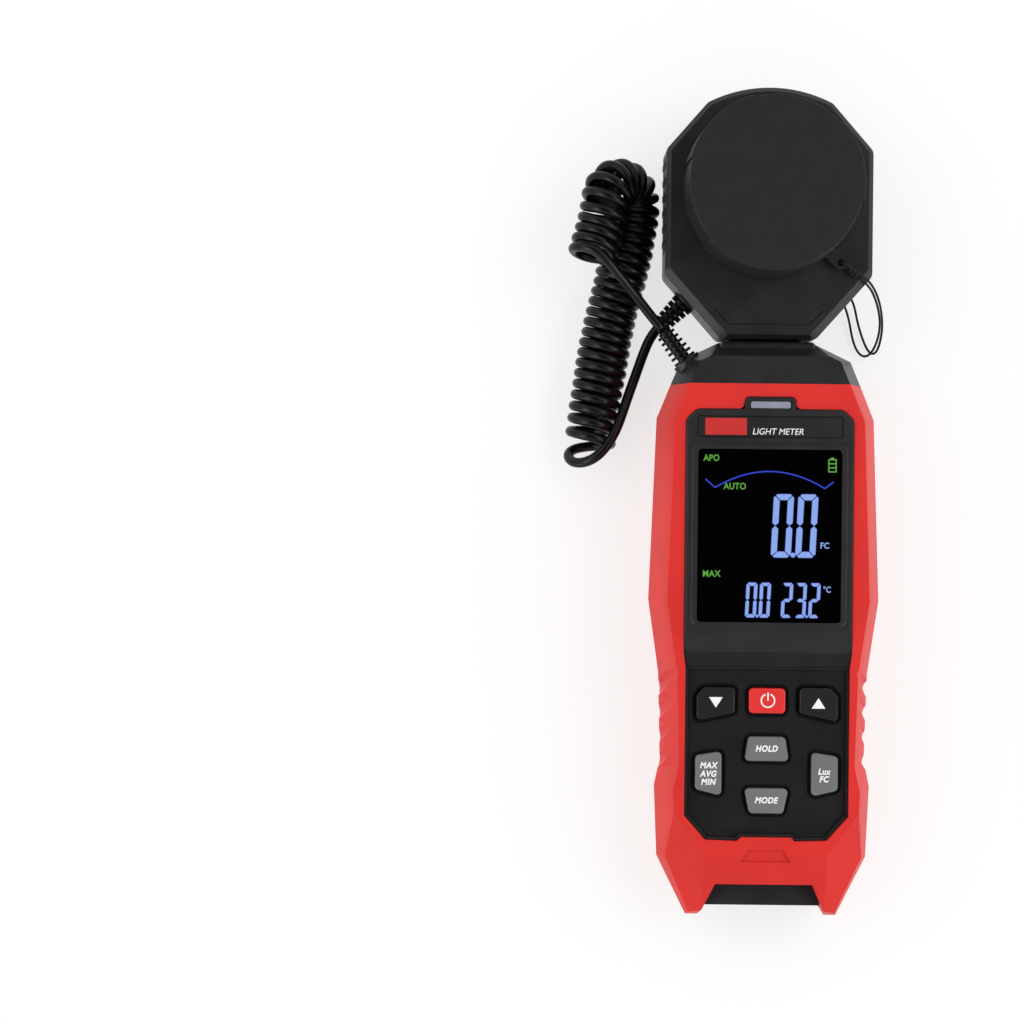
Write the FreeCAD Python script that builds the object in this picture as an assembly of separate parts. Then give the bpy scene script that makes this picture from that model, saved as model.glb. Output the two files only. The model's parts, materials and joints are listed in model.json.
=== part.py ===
"""Handheld light meter: a meter body, a plug-in sensor head and the curly cord between them.

Frame: millimetres, the meter lies on its back on z = 0, the display looks along +Z, and the
sensor head points along +Y. The origin is the middle of the footprint of the whole object.
"""
import FreeCAD
import Part
import collections
import math
import os

os.makedirs("parts", exist_ok=True)
V = FreeCAD.Vector
UP = V(0, 0, 1)

# ---- driving dimensions -------------------------------------------------------------------
LENGTH = 240.0
HALF_LENGTH = LENGTH / 2
FAR = 2 * LENGTH                # further out than any piece reaches
FRONT_Z = 33.0            # front face of the jacket and of the shoulder
WIDEST_Z = 17.0           # height at which the body is widest: the parting line of the case
BACK_CHAMFER_Z = 3.0
FRONT_INSET = 4.6         # how far the sides lean in from the parting line to the front
BACK_INSET = 2.4
JACKET_WALL = 2.2
CASE_WALL = 1.8
FIT_GAP = 0.3             # between pieces that move against each other
SEAT_GAP = 0.1            # between pieces that only lie against each other
JACKET_TOP_Y = 33.2       # where the jacket ends and the bare black shoulder starts

# Meter body, right half of the outline at the parting line, from the neck to the foot.
BODY_HALF = [(13.8, 45.6), (24.6, 40.4), (27.6, 33.2), (31.5, 23.5), (33.4, -28.9), (30.3, -50.0),
             (29.6, -75.0), (31.2, -82.7), (30.3, -103.0), (21.8, -HALF_LENGTH)]
NOTCH_TOP = (14.0, -109.9)      # gap between the two feet
NOTCH_BOTTOM = (18.4, -HALF_LENGTH)
GRIP_HALF_X = 30.0              # half width of the waist that the fingers hold
GROOVE_R = 3.0
GROOVE_DEPTH = 0.9
GROOVE_Y = [-53.0, -60.0, -67.0, -74.0]
END_Y = -116.6                  # bottom edge of the black case between the feet

# Front panel (bezel), right half, from the indicator tab to the notch under the keys.
PANEL_HALF = [(7.3, 29.4), (7.3, 25.9), (20.9, 25.9), (23.9, 22.9), (23.9, -43.0), (23.3, -47.5),
              (23.3, -89.8), (17.3, -96.6), (8.2, -96.9), (7.2, -95.8)]
PANEL_BOTTOM_Z = 27.4
PANEL_CORNER_R = 3.2
TAB_CORNER_R = 1.5
TAB_END_X = 10.0                # between the tab for the indicator and the panel's corners
DISPLAY_TOP_Z = 33.8
KEY_SURROUND_Z = 31.6
KEYPAD_HALF = [(22.4, -48.2), (22.4, -89.2), (16.7, -95.7), (8.6, -96.0), (7.6, -94.9)]
KEYPAD_TOP_Z = 31.0
KEYPAD_BOTTOM_Z = 28.2

WINDOW_HALF_X = 20.45
WINDOW_Y = (-34.7, 14.5)
RIM_HALF_X = 22.3
RIM_Y = (-35.9, 16.2)
LABEL_HALF_X = 20.8
LABEL_Y = (17.7, 24.0)
INDICATOR = (11.4, 2.0, 27.1)   # length, width, middle Y
WELL_WIDTH = 0.75               # sunken rim round each key
WELL_DEPTH = 0.6
KEY_CORNER_R = 1.2

# Keys: outlines as seen from the front. The right-hand ones mirror the left-hand ones.
KEY_TOP_Z = 32.5
KEY_TRAVEL = 0.8
KEY_CLEARANCE = 0.3
POWER_KEY = [(-5.15, -53.5), (5.15, -53.5), (5.15, -60.6), (-5.15, -60.6)]
ARROW_KEY = [(9.2, -53.3), (18.0, -53.3), (20.1, -55.6), (20.1, -62.9), (9.2, -60.5)]
HOLD_KEY = [(-5.2, -67.3), (5.2, -67.3), (6.3, -74.2), (-6.3, -74.2)]
MODE_KEY = [(-6.3, -82.0), (6.3, -82.0), (4.8, -89.1), (-4.8, -89.1)]
SIDE_KEY = [(12.8, -71.6), (20.3, -72.8), (20.3, -82.4), (12.8, -84.2)]

# Sensor head
HEAD_BOTTOM_Z = 5.0
HEAD_TOP_Z = 25.0
HEAD_SPLIT_Z = 16.0
HEAD_GROOVE = 0.6
HEAD_BEVEL = 1.3
HEAD_LOW_BEVEL = 2.2            # on the slanted edges beside the neck
HEAD_WALL = 2.0
HEAD_CORNER_R = 2.6
HEAD_LOW_Y = 46.4
HEAD_CROWN_Y = 118.8
HEAD_HALF_X = 29.8
# Right half of the head's straight edges, from the crown to the edge above the neck.
HEAD_CORNERS = [(18.0, 114.4), (HEAD_HALF_X, 100.8), (HEAD_HALF_X, 64.6), (13.7, HEAD_LOW_Y)]
SENSOR_Y = 89.2
CAP_R = 25.0
CAP_FLARE = 0.6                 # the cap is this much wider at its open end
CAP_STEP = 0.6
CAP_TOP_Z = 46.0
CAP_WALL = 1.5
COLLAR_R = CAP_R - CAP_STEP - CAP_WALL - FIT_GAP
COLLAR_TOP_Z = HEAD_TOP_Z + 2.2
DOME_SEAT_R = 18.6
DOME_BASE_R = 16.6
DOME_HEIGHT = 15.5
DOME_SEAT_Z = HEAD_TOP_Z - 0.8
TONGUE = (20.0, 10.6, 7.6)      # width, depth, height
TONGUE_Z = 7.2
HEAD_SCREW_XY = [(x * s, y) for x, y in ((24.0, 98.0), (13.0, 53.4)) for s in (1, -1)]
EYE_XY = (20.5, 66.0)
EYE_R = 2.0
EYE_WIRE_R = 0.6
SENSOR_BOARD_Z = 14.0
GRIP_Y = (71.6, 99.4)
GRIP_Z = (8.5, 21.5)
GRIP_DEPTH = 0.9
RIB = (1.8, 4.5, 0.35, 6)       # length along the head, pitch, height, count
LARGE_ARCS = [(105, 60), (221, 65), (347, 55)]      # the cap's wide arcs: start and sweep in degrees
EAR_ANGLE = -46.0
EAR_REACH = 29.1
EAR_Z = (HEAD_TOP_Z + 1.2, HEAD_TOP_Z + 3.0)
EAR_R = 2.0
EAR_HOLE_R = 1.0

# Inside the case
CAVITY_Z = (4.2, 28.9)
CORE_END_Y = -106.7             # where the black case ends inside the jacket
CAVITY_Y = (-104.9, 34.3)
END_HALF_X = 16.7
END_BLOCK_Z = (3.4, 22.0)
NECK_HALF_X = 13.6
NECK_Y = 45.7
NECK_Z = (5.0, 23.4)
BAY_X = 17.6
BAY_Y = (-98.6, -49.4)
BAY_Z = 15.6
BAY_WALL = 1.4
DOOR_MARGIN = 1.6
DOOR_TOP_Y = -42.6              # the door reaches past the bay, for its screw
DOOR_SCREW_Y = -45.8
DOOR_SCREW_Z = 0.9
DOOR_FACE_Z = 0.7
CASE_SCREWS = [(24.0, 20.6, 27.2), (24.0, -40.0, 27.2), (21.5, -103.0, 23.0)]   # x, y, post top
CASE_SCREW_XY = [(x * s, y, z) for x, y, z in CASE_SCREWS for s in (1, -1)]
BOARD_SCREW_XY = [(x * s, y) for x, y in ((19.6, 21.0), (18.8, -44.0)) for s in (1, -1)]
POST_R = 2.6
BOARD_Z = (20.4, 22.0)
INSERT_Y = 6.0
INSERT_R = 5.0
INSERT_FACE_Z = 0.6
INSERT_TOP_Z = 10.2
TRIPOD_R = 2.6                  # bore of a 1/4-20 thread
TRIPOD_DEPTH = 8.0

# Ribbed glands where the cord leaves the meter and the head
RELIEF_SEAT_Z = 0.1             # the first rib stands just clear of the wall
RELIEF_CORE_R = 1.9
Gland = collections.namedtuple("Gland", "root direction ribs pitch rib root_r tip_r")
BODY_GLAND = Gland((-23.3, 40.3, 18.5), V(-0.61, 0.79, 0).normalize(), 6, 1.75, 0.8, 3.5, 2.8)
HEAD_GLAND = Gland((-23.6, 57.6, 10.5), V(-0.71, -0.70, -0.06).normalize(), 5, 1.9, 1.45, 3.5, 2.7)

# Cord
CORD_D = 2.95
COIL_R = 7.85
UPPER_COIL_R = 7.5
STRING_D = 0.7


# ---- helpers ------------------------------------------------------------------------------
def mirrored(half):
    """A closed outline from its right half: the left half is the same points in reverse."""
    return list(half) + [(-x, y) for x, y in reversed(half)]


def flipped(points):
    """The outline's mirror image in the YZ plane, in the same turning sense."""
    return [(-x, y) for x, y in reversed(points)]


def inset(points, distance):
    """The outline moved inwards, with the same number of corners.

    The distance is one number, or one for each edge, the edge after each corner.
    """
    area = sum(a[0] * b[1] - b[0] * a[1] for a, b in zip(points, points[1:] + points[:1]))
    side = 1 if area > 0 else -1
    count = len(points)
    reach = distance if isinstance(distance, list) else [distance] * count
    moved = []
    for i in range(count):
        before, here, after = points[i - 1], points[i], points[(i + 1) % count]
        d1 = V(here[0] - before[0], here[1] - before[1], 0).normalize()
        d2 = V(after[0] - here[0], after[1] - here[1], 0).normalize()
        n1 = V(-d1.y, d1.x, 0) * side
        n2 = V(-d2.y, d2.x, 0) * side
        turn = n1.x * n2.y - n1.y * n2.x
        x = (reach[i - 1] * n2.y - reach[i] * n1.y) / turn
        y = (reach[i] * n1.x - reach[i - 1] * n2.x) / turn
        moved.append((here[0] + x, here[1] + y))
    return moved


def wire(points, z):
    return Part.makePolygon([V(x, y, z) for x, y in points] + [V(points[0][0], points[0][1], z)])


def prism(points, z0, z1):
    return Part.Face(wire(points, z0)).extrude(V(0, 0, z1 - z0))


def box(x0, x1, y0, y1, z0, z1):
    return Part.makeBox(x1 - x0, y1 - y0, z1 - z0, V(x0, y0, z0))


def rod(radius, start, end):
    start, end = V(*start), V(*end)
    return Part.makeCylinder(radius, (end - start).Length, start, end - start)


def fused(shapes):
    whole = shapes[0]
    for shape in shapes[1:]:
        whole = whole.fuse(shape)
    return whole.removeSplitter()


def cut_all(shape, tools):
    for tool in tools:
        shape = shape.cut(tool)
    return shape


def vertical_edges(shape):
    """The straight edges that stand upright."""
    found = []
    for edge in shape.Edges:
        a, b = edge.Vertexes[0].Point, edge.Vertexes[-1].Point
        if edge.Length > 0.2 and abs(abs(a.z - b.z) - edge.Length) < 1e-4:
            found.append(edge)
    return found


def edges_at(shape, z):
    return [e for e in shape.Edges if all(abs(v.Point.z - z) < 1e-4 for v in e.Vertexes)]


def rounded_prism(points, z0, z1, radius, top_chamfer=0.0):
    """A prism with its upright edges rounded and, if asked for, its top edge chamfered."""
    shape = prism(points, z0, z1)
    shape = shape.makeFillet(radius, vertical_edges(shape))
    if top_chamfer:
        shape = shape.makeChamfer(top_chamfer, edges_at(shape, z1))
    return shape


def band(y0, y1, z0=-FAR, z1=FAR):
    """All the space between two values of Y and, if asked for, between two heights."""
    return box(-FAR, FAR, y0, y1, z0, z1)


def beyond(point, normal):
    """All the space on the side of a plane that its normal points to."""
    slab = Part.makeBox(2 * FAR, 2 * FAR, 2 * FAR, V(-FAR, -FAR, 0))
    slab.Placement = FreeCAD.Placement(V(*point), FreeCAD.Rotation(UP, V(*normal)))
    return slab


def placed(shape, base, direction):
    """A shape made about +Z at the origin, moved to a base point and turned to a direction."""
    moved = shape.copy()
    moved.Placement = FreeCAD.Placement(V(*base), FreeCAD.Rotation(UP, V(*direction)))
    return moved


def screw(head_r, head_h, shank_r, length):
    """A pan-head screw along +Z, its head at the bottom, with a cross recess."""
    body = Part.makeCylinder(head_r, head_h)
    body = body.makeChamfer(head_h * 0.3, [body.Edges[2]])
    body = body.fuse(Part.makeCylinder(shank_r, length, V(0, 0, head_h)))
    arm = head_r * 1.1
    slot = head_r * 0.28
    for w, h in ((arm, slot), (slot, arm)):
        body = body.cut(Part.makeBox(w, h, head_h * 0.5, V(-w / 2, -h / 2, 0)))
    return body


def save(name, shape):
    solids = shape.Solids
    if not solids or not shape.isValid():
        raise SystemExit("bad shape: " + name)
    box_ = shape.BoundBox
    print("%-20s %d solid(s) %9.1f mm3  x %.1f..%.1f  y %.1f..%.1f  z %.1f..%.1f" % (
        name, len(solids), shape.Volume, box_.XMin, box_.XMax, box_.YMin, box_.YMax, box_.ZMin, box_.ZMax))
    shape.exportStep("parts/%s.step" % name)


# ---- meter body: outer form ---------------------------------------------------------------
BODY = mirrored(BODY_HALF)
SHOULDER_EDGES = (0, len(BODY) - 2)     # the two slanted edges beside the neck
SHOULDER_LEAN = 0.6                     # they lean in less than the sides
PANEL = mirrored(PANEL_HALF)
KEYPAD = mirrored(KEYPAD_HALF)


def body_level(z, extra=0.0):
    """The body's outline at a height, moved in by an extra distance."""
    if z >= WIDEST_Z:
        lean = FRONT_INSET * (z - WIDEST_Z) / (FRONT_Z - WIDEST_Z)
    elif z <= BACK_CHAMFER_Z:
        lean = BACK_INSET - z * 0.4
    else:
        lean = (BACK_INSET - BACK_CHAMFER_Z * 0.4) * (WIDEST_Z - z) / (WIDEST_Z - BACK_CHAMFER_Z)
    reach = [lean + extra] * len(BODY)
    for edge in SHOULDER_EDGES:
        reach[edge] = lean * SHOULDER_LEAN + extra
    return inset(BODY, reach)


def stack(levels):
    """A closed solid of flat faces through outlines with parallel edges, one above the other."""
    rings = [[V(x, y, z) for x, y in points] for z, points in levels]
    count = len(rings[0])
    faces = [Part.Face(Part.makePolygon(ring + ring[:1])) for ring in (rings[0], rings[-1])]
    for low, high in zip(rings, rings[1:]):
        for i in range(count):
            j = (i + 1) % count
            corners = [low[i], low[j], high[j], high[i], low[i]]
            faces.append(Part.Face(Part.makePolygon(corners)))
    solid = Part.Solid(Part.Shell(faces))
    if solid.Volume < 0:
        solid.reverse()
    return solid


def body_form(z0, z1, extra):
    """The body's outer form between two heights, moved in by an extra distance."""
    heights = [z0] + [z for z in (BACK_CHAMFER_Z, WIDEST_Z) if z0 < z < z1] + [z1]
    return stack([(z, body_level(z, extra)) for z in heights])


END_SLOPE = ((0, -102.1, 32.4), (0, -0.55, 1))
CORNER_FACET = ((25.5, -90.0, FRONT_Z), (122.6, -88.9, 165.3))


def foot_facets(shape, depth=0.0):
    """The slope below the keys and the lozenge facet on each lower corner, moved in by a depth."""
    for side in (1, -1):
        for point, normal in (END_SLOPE, CORNER_FACET):
            outward = V(side * normal[0], normal[1], normal[2]).normalize()
            start = V(side * point[0], point[1], point[2]) - outward * depth
            shape = shape.cut(beyond(start, outward))
    return shape


def make_body_outer():
    outer = foot_facets(body_form(0, FRONT_Z, 0))
    notch = prism([NOTCH_TOP, NOTCH_BOTTOM, (NOTCH_BOTTOM[0], -HALF_LENGTH - 5),
                   (-NOTCH_BOTTOM[0], -HALF_LENGTH - 5), (-NOTCH_BOTTOM[0], NOTCH_BOTTOM[1]),
                   (-NOTCH_TOP[0], NOTCH_TOP[1])], -1, FRONT_Z + 1)
    return outer.cut(notch)


def panel_prism(grow, z0, z1):
    """The front panel's outline with its upper corners rounded, moved out by a distance."""
    shape = prism(inset(PANEL, -grow), z0, z1)
    upper = [e for e in vertical_edges(shape) if e.Vertexes[0].Point.y > 0]
    shape = shape.makeFillet(TAB_CORNER_R, [e for e in upper if abs(e.Vertexes[0].Point.x) < TAB_END_X])
    upper = [e for e in vertical_edges(shape) if e.Vertexes[0].Point.y > 0]
    return shape.makeFillet(PANEL_CORNER_R, [e for e in upper if abs(e.Vertexes[0].Point.x) > TAB_END_X])


def strain_relief(gland):
    """A ribbed gland about +Z: a collar inside the wall, a core and ribs that get smaller."""
    length = gland.ribs * gland.pitch
    body = Part.makeCylinder(RELIEF_CORE_R, length + 3.0, V(0, 0, -3.0))
    body = body.fuse(Part.makeCylinder(RELIEF_CORE_R + 0.8, 1.0, V(0, 0, -3.6)))
    for i in range(gland.ribs):
        radius = gland.root_r + (gland.tip_r - gland.root_r) * i / (gland.ribs - 1)
        foot = V(0, 0, RELIEF_SEAT_Z + SEAT_GAP / 2 + i * gland.pitch)
        body = body.fuse(Part.makeCylinder(radius, gland.rib, foot))
    return body.removeSplitter()


def relief_hole(gland):
    """The hole through a wall that a gland's core sits in, with room for its inner collar."""
    hole = Part.makeCylinder(RELIEF_CORE_R + SEAT_GAP / 2, 12, V(0, 0, -6))
    collar = Part.makeCylinder(RELIEF_CORE_R + 1.0, 5, V(0, 0, -7.5))
    seat = Part.makeCylinder(gland.root_r + SEAT_GAP, 12, V(0, 0, RELIEF_SEAT_Z))
    return placed(fused([hole, collar, seat]), gland.root, gland.direction)


def relief_boss(gland):
    """The round seat that a gland stands on, outside the wall."""
    return placed(Part.makeCylinder(gland.root_r + 0.7, 3.0, V(0, 0, -2.9)), gland.root, gland.direction)


# ---- meter body: case, jacket, panel ------------------------------------------------------
body_outer = make_body_outer()
core = foot_facets(body_form(JACKET_WALL, FRONT_Z - JACKET_WALL, JACKET_WALL), JACKET_WALL)
core = core.cut(band(-FAR, CORE_END_Y))
end_block = prism([(NOTCH_TOP[0] - SEAT_GAP / 2, NOTCH_TOP[1]), (END_HALF_X, END_Y), (-END_HALF_X, END_Y),
                   (-NOTCH_TOP[0] + SEAT_GAP / 2, NOTCH_TOP[1])], *END_BLOCK_Z)
end_block = end_block.fuse(box(-13.0, 13.0, NOTCH_TOP[1] - 0.01, CORE_END_Y + 0.5, *END_BLOCK_Z))
neck = rounded_prism([(NECK_HALF_X, 40.0), (NECK_HALF_X, NECK_Y), (-NECK_HALF_X, NECK_Y),
                      (-NECK_HALF_X, 40.0)], *NECK_Z, 1.0, 0.6)


def make_case():
    """The two black halves: hollow, meeting at the parting line, with neck and shoulder."""
    shoulder = body_outer.common(band(JACKET_TOP_Y, FAR))
    outer = fused([core, shoulder, neck, end_block, relief_boss(BODY_GLAND)])
    hollow_form = foot_facets(body_form(*CAVITY_Z, JACKET_WALL + CASE_WALL), JACKET_WALL + CASE_WALL)
    hollow_form = hollow_form.common(band(*CAVITY_Y))
    socket = box(-TONGUE[0] / 2 - FIT_GAP, TONGUE[0] / 2 + FIT_GAP, HEAD_LOW_Y - TONGUE[1] - FIT_GAP,
                 HEAD_LOW_Y, TONGUE_Z - FIT_GAP, TONGUE_Z + TONGUE[2] + FIT_GAP)
    opening = panel_prism(SEAT_GAP, PANEL_BOTTOM_Z + 1.2, FRONT_Z + 4)
    shell = cut_all(outer, [hollow_form, socket, opening, relief_hole(BODY_GLAND)])
    rear = shell.cut(band(-FAR, FAR, WIDEST_Z))
    front = shell.cut(band(-FAR, FAR, -FAR, WIDEST_Z))
    bay_block = box(-BAY_X - BAY_WALL, BAY_X + BAY_WALL, BAY_Y[0] - BAY_WALL, BAY_Y[1] + BAY_WALL,
                    CAVITY_Z[0] - 0.5, BAY_Z + BAY_WALL - 0.1)
    door_post = rod(POST_R, (0, DOOR_SCREW_Y, 3.0), (0, DOOR_SCREW_Y, 12.0))
    insert_post = fused([rod(INSERT_R + 2.0, (0, INSERT_Y, 3.0), (0, INSERT_Y, INSERT_TOP_Z + 2.0)),
                         rod(INSERT_R + 1.1, (0, INSERT_Y, INSERT_FACE_Z), (0, INSERT_Y, 4.0))])
    posts = [rod(POST_R, (x, y, 3.0), (x, y, WIDEST_Z)) for x, y, _ in CASE_SCREW_XY]
    posts += [rod(POST_R, (x, y, 3.0), (x, y, BOARD_Z[0])) for x, y in BOARD_SCREW_XY]
    rear = fused([rear, bay_block, door_post, insert_post] + posts)
    bay = box(-BAY_X, BAY_X, BAY_Y[0], BAY_Y[1], -1, BAY_Z)
    door_screw_bore = rod(0.85, (0, DOOR_SCREW_Y, 2), (0, DOOR_SCREW_Y, 10.5))
    rear = cut_all(rear, [bay, door_screw_bore, door_opening(0, CAVITY_Z[0] - 0.8)])
    for x, y, top in CASE_SCREW_XY:
        shank, head = rod(1.25, (x, y, 0), (x, y, WIDEST_Z + 1)), rod(2.2, (x, y, 0), (x, y, 5.0))
        rear = cut_all(rear, [shank, head])
        front = front.fuse(rod(POST_R, (x, y, WIDEST_Z), (x, y, top)))
        front = front.cut(rod(0.95, (x, y, WIDEST_Z - 1), (x, y, WIDEST_Z + 6.0)))
    for x, y in BOARD_SCREW_XY:
        rear = rear.cut(rod(0.85, (x, y, BOARD_Z[0] - 5.0), (x, y, BOARD_Z[0] + 1)))
    rear = rear.cut(rod(INSERT_R, (0, INSERT_Y, -1), (0, INSERT_Y, INSERT_TOP_Z)))
    return front.removeSplitter(), rear.removeSplitter()


def door_opening(gap, top):
    """The battery door's outline, made smaller by a gap, from below the back up to a height."""
    return box(-BAY_X - DOOR_MARGIN + gap, BAY_X + DOOR_MARGIN - gap, BAY_Y[0] - DOOR_MARGIN + gap,
               DOOR_TOP_Y - gap, -1, top)


def make_jacket():
    """The rubber jacket: the outer form less the case, the panel, the door and the mount."""
    inner = JACKET_WALL - SEAT_GAP / 2
    cavity = foot_facets(body_form(inner, FRONT_Z - inner, inner), inner)
    cavity = cavity.cut(band(-FAR, CORE_END_Y - SEAT_GAP / 2))
    jacket = body_outer.common(band(-FAR, JACKET_TOP_Y))
    mount_hole = rod(INSERT_R + 1.2, (0, INSERT_Y, -1), (0, INSERT_Y, JACKET_WALL + 1))
    jacket = cut_all(jacket, [cavity, end_block, panel_prism(SEAT_GAP, 20, FRONT_Z + 4),
                              door_opening(0, JACKET_WALL + 1), mount_hole, end_scoop()])
    return jacket.cut(fused(grip_grooves())).removeSplitter()


def end_scoop():
    """The shallow dip in the middle of the crease under the keys."""
    outline = [(-5.0, -99.4), (5.0, -99.4), (7.2, -103.0), (-7.2, -103.0)]
    return prism(outline, 20, FRONT_Z + 4).common(beyond((0, -99.4, 32.5), (0, -0.28, 1)))


def grip_grooves():
    """Slanted scallops across each side of the grip, running out before the front edge."""
    grooves = []
    out = GROOVE_R - GROOVE_DEPTH
    clear = GROOVE_R + SEAT_GAP
    facet = V(FRONT_Z - WIDEST_Z, 0, FRONT_INSET).normalize()
    for side in (1, -1):
        for y in GROOVE_Y:
            top = V(side * (GRIP_HALF_X - FRONT_INSET + clear * facet.x), y + 4.0, FRONT_Z + clear * facet.z)
            low = V(side * (GRIP_HALF_X + out), y - 1.5, WIDEST_Z)
            foot = V(side * (GRIP_HALF_X + out), y - 3.0, 6.0)
            grooves.append(rod(GROOVE_R, top, low))
            grooves.append(rod(GROOVE_R, low, foot))
    return grooves


def make_panel():
    """The black front panel: raised round the display, sloping down to the keys."""
    profile = [(-120, KEY_SURROUND_Z), (-47.6, KEY_SURROUND_Z), (-47.4, 32.2), (-43.3, 32.6),
               (-37.6, DISPLAY_TOP_Z), (40, DISPLAY_TOP_Z), (40, PANEL_BOTTOM_Z), (-120, PANEL_BOTTOM_Z)]
    outline = Part.makePolygon([V(-40, y, z) for y, z in profile + profile[:1]])
    shape = Part.Face(outline).extrude(V(80, 0, 0))
    shape = shape.common(panel_prism(0, PANEL_BOTTOM_Z, DISPLAY_TOP_Z + 3))
    shape = shape.makeChamfer(0.5, [e for e in edges_at(shape, DISPLAY_TOP_Z) if e.BoundBox.YMax > -35])
    rim = rounded_prism([(-RIM_HALF_X, RIM_Y[0]), (RIM_HALF_X, RIM_Y[0]), (RIM_HALF_X, RIM_Y[1]),
                         (-RIM_HALF_X, RIM_Y[1])], DISPLAY_TOP_Z - 1, DISPLAY_TOP_Z + 0.6, 2.2, 0.55)
    shape = shape.fuse(rim)
    wx, (wy0, wy1) = WINDOW_HALF_X, WINDOW_Y
    window = rounded_prism([(-wx, wy0), (wx, wy0), (wx, wy1), (-wx, wy1)], 20, 40, 1.2)
    pocket = box(-22.2, 22.2, -36.6, 16.8, 20, DISPLAY_TOP_Z - 1.9)
    lx, (ly0, ly1) = LABEL_HALF_X, LABEL_Y
    label = rounded_prism([(-lx, ly0), (lx, ly0), (lx, ly1), (-lx, ly1)], DISPLAY_TOP_Z - 0.5, 40, 0.8)
    slot = indicator_outline(SEAT_GAP, 20, 40)
    pad = rounded_prism(inset(KEYPAD, -SEAT_GAP), KEYPAD_BOTTOM_Z, 40, 0.5)
    through = prism(inset(KEYPAD, 1.2), 20, 40)
    shape = cut_all(shape, [window, pocket, label, slot, pad, through])
    flange = prism(inset(PANEL, 0.9), PANEL_BOTTOM_Z, PANEL_BOTTOM_Z + 1.1)
    return shape.common(fused([prism(PANEL, PANEL_BOTTOM_Z + 1.1, 40), flange])).removeSplitter()


def indicator_outline(grow, z0, z1):
    length, width, y = INDICATOR
    hx, hy = length / 2 + grow, width / 2 + grow
    return rounded_prism([(-hx, y - hy), (hx, y - hy), (hx, y + hy), (-hx, y + hy)], z0, z1, 0.6)


def make_window():
    wx, (wy0, wy1) = WINDOW_HALF_X - SEAT_GAP, (WINDOW_Y[0] + SEAT_GAP, WINDOW_Y[1] - SEAT_GAP)
    pane = rounded_prism([(-wx, wy0), (wx, wy0), (wx, wy1), (-wx, wy1)], 30.8, DISPLAY_TOP_Z - 0.1, 1.1)
    flange = box(-21.6, 21.6, -35.9, 16.0, 30.6, DISPLAY_TOP_Z - 2.0)
    return pane.fuse(flange).removeSplitter()


# ---- keys ---------------------------------------------------------------------------------
KEYS = {"key_power": POWER_KEY, "key_up": ARROW_KEY, "key_down": flipped(ARROW_KEY),
        "key_hold": HOLD_KEY, "key_mode": MODE_KEY, "key_units": SIDE_KEY,
        "key_max_min": flipped(SIDE_KEY)}
KEY_FLANGE_Z = (26.6, 27.9)
KEY_FLANGE = 0.7
DOME_TOP_Z = KEY_FLANGE_Z[0] - 0.05


def make_key(outline):
    cap = rounded_prism(outline, KEY_FLANGE_Z[0], KEY_TOP_Z, KEY_CORNER_R)
    cap = cap.makeFillet(0.35, edges_at(cap, KEY_TOP_Z))
    flange = rounded_prism(inset(outline, -KEY_FLANGE), KEY_FLANGE_Z[0], KEY_FLANGE_Z[1], KEY_CORNER_R)
    return cap.fuse(flange).removeSplitter()


def make_keypad_plate():
    plate = rounded_prism(KEYPAD, KEYPAD_BOTTOM_Z, KEYPAD_TOP_Z, 0.4)
    well = KEY_CLEARANCE + WELL_WIDTH
    for outline in KEYS.values():
        for grow, low in ((KEY_CLEARANCE, 20), (well, KEYPAD_TOP_Z - WELL_DEPTH)):
            plate = plate.cut(rounded_prism(inset(outline, -grow), low, 40, KEY_CORNER_R + grow))
    return plate


def make_rubber_keypad():
    sheet = rounded_prism([(-21.2, -94.0), (21.2, -94.0), (21.2, -50.0), (-21.2, -50.0)], 22.1, 23.3, 1.0)
    for outline in KEYS.values():
        sheet = sheet.fuse(prism(inset(outline, 1.0), 23.0, DOME_TOP_Z))
    return sheet.removeSplitter()


# ---- sensor head --------------------------------------------------------------------------
def head_face(grow, z):
    """The head's outline, an octagon with an arched crown, moved out by a distance."""
    ring = inset(mirrored(HEAD_CORNERS), -grow)
    right, left = ring[0], ring[-1]
    edges = [Part.LineSegment(V(a[0], a[1], z), V(b[0], b[1], z)).toShape() for a, b in zip(ring, ring[1:])]
    crown = V(0, HEAD_CROWN_Y + grow, z)
    edges.append(Part.Arc(V(left[0], left[1], z), crown, V(right[0], right[1], z)).toShape())
    return Part.Face(Part.Wire(edges))


def head_prism(grow, z0, z1):
    return head_face(grow, z0).extrude(V(0, 0, z1 - z0))


def make_eye():
    """The loop under the head that holds the cap's string."""
    ring = Part.makeTorus(EYE_R, EYE_WIRE_R, V(0, 0, 0), V(0.68, -0.73, 0))
    ring.translate(V(EYE_XY[0], EYE_XY[1], HEAD_BOTTOM_Z - 0.4))
    return ring


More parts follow.
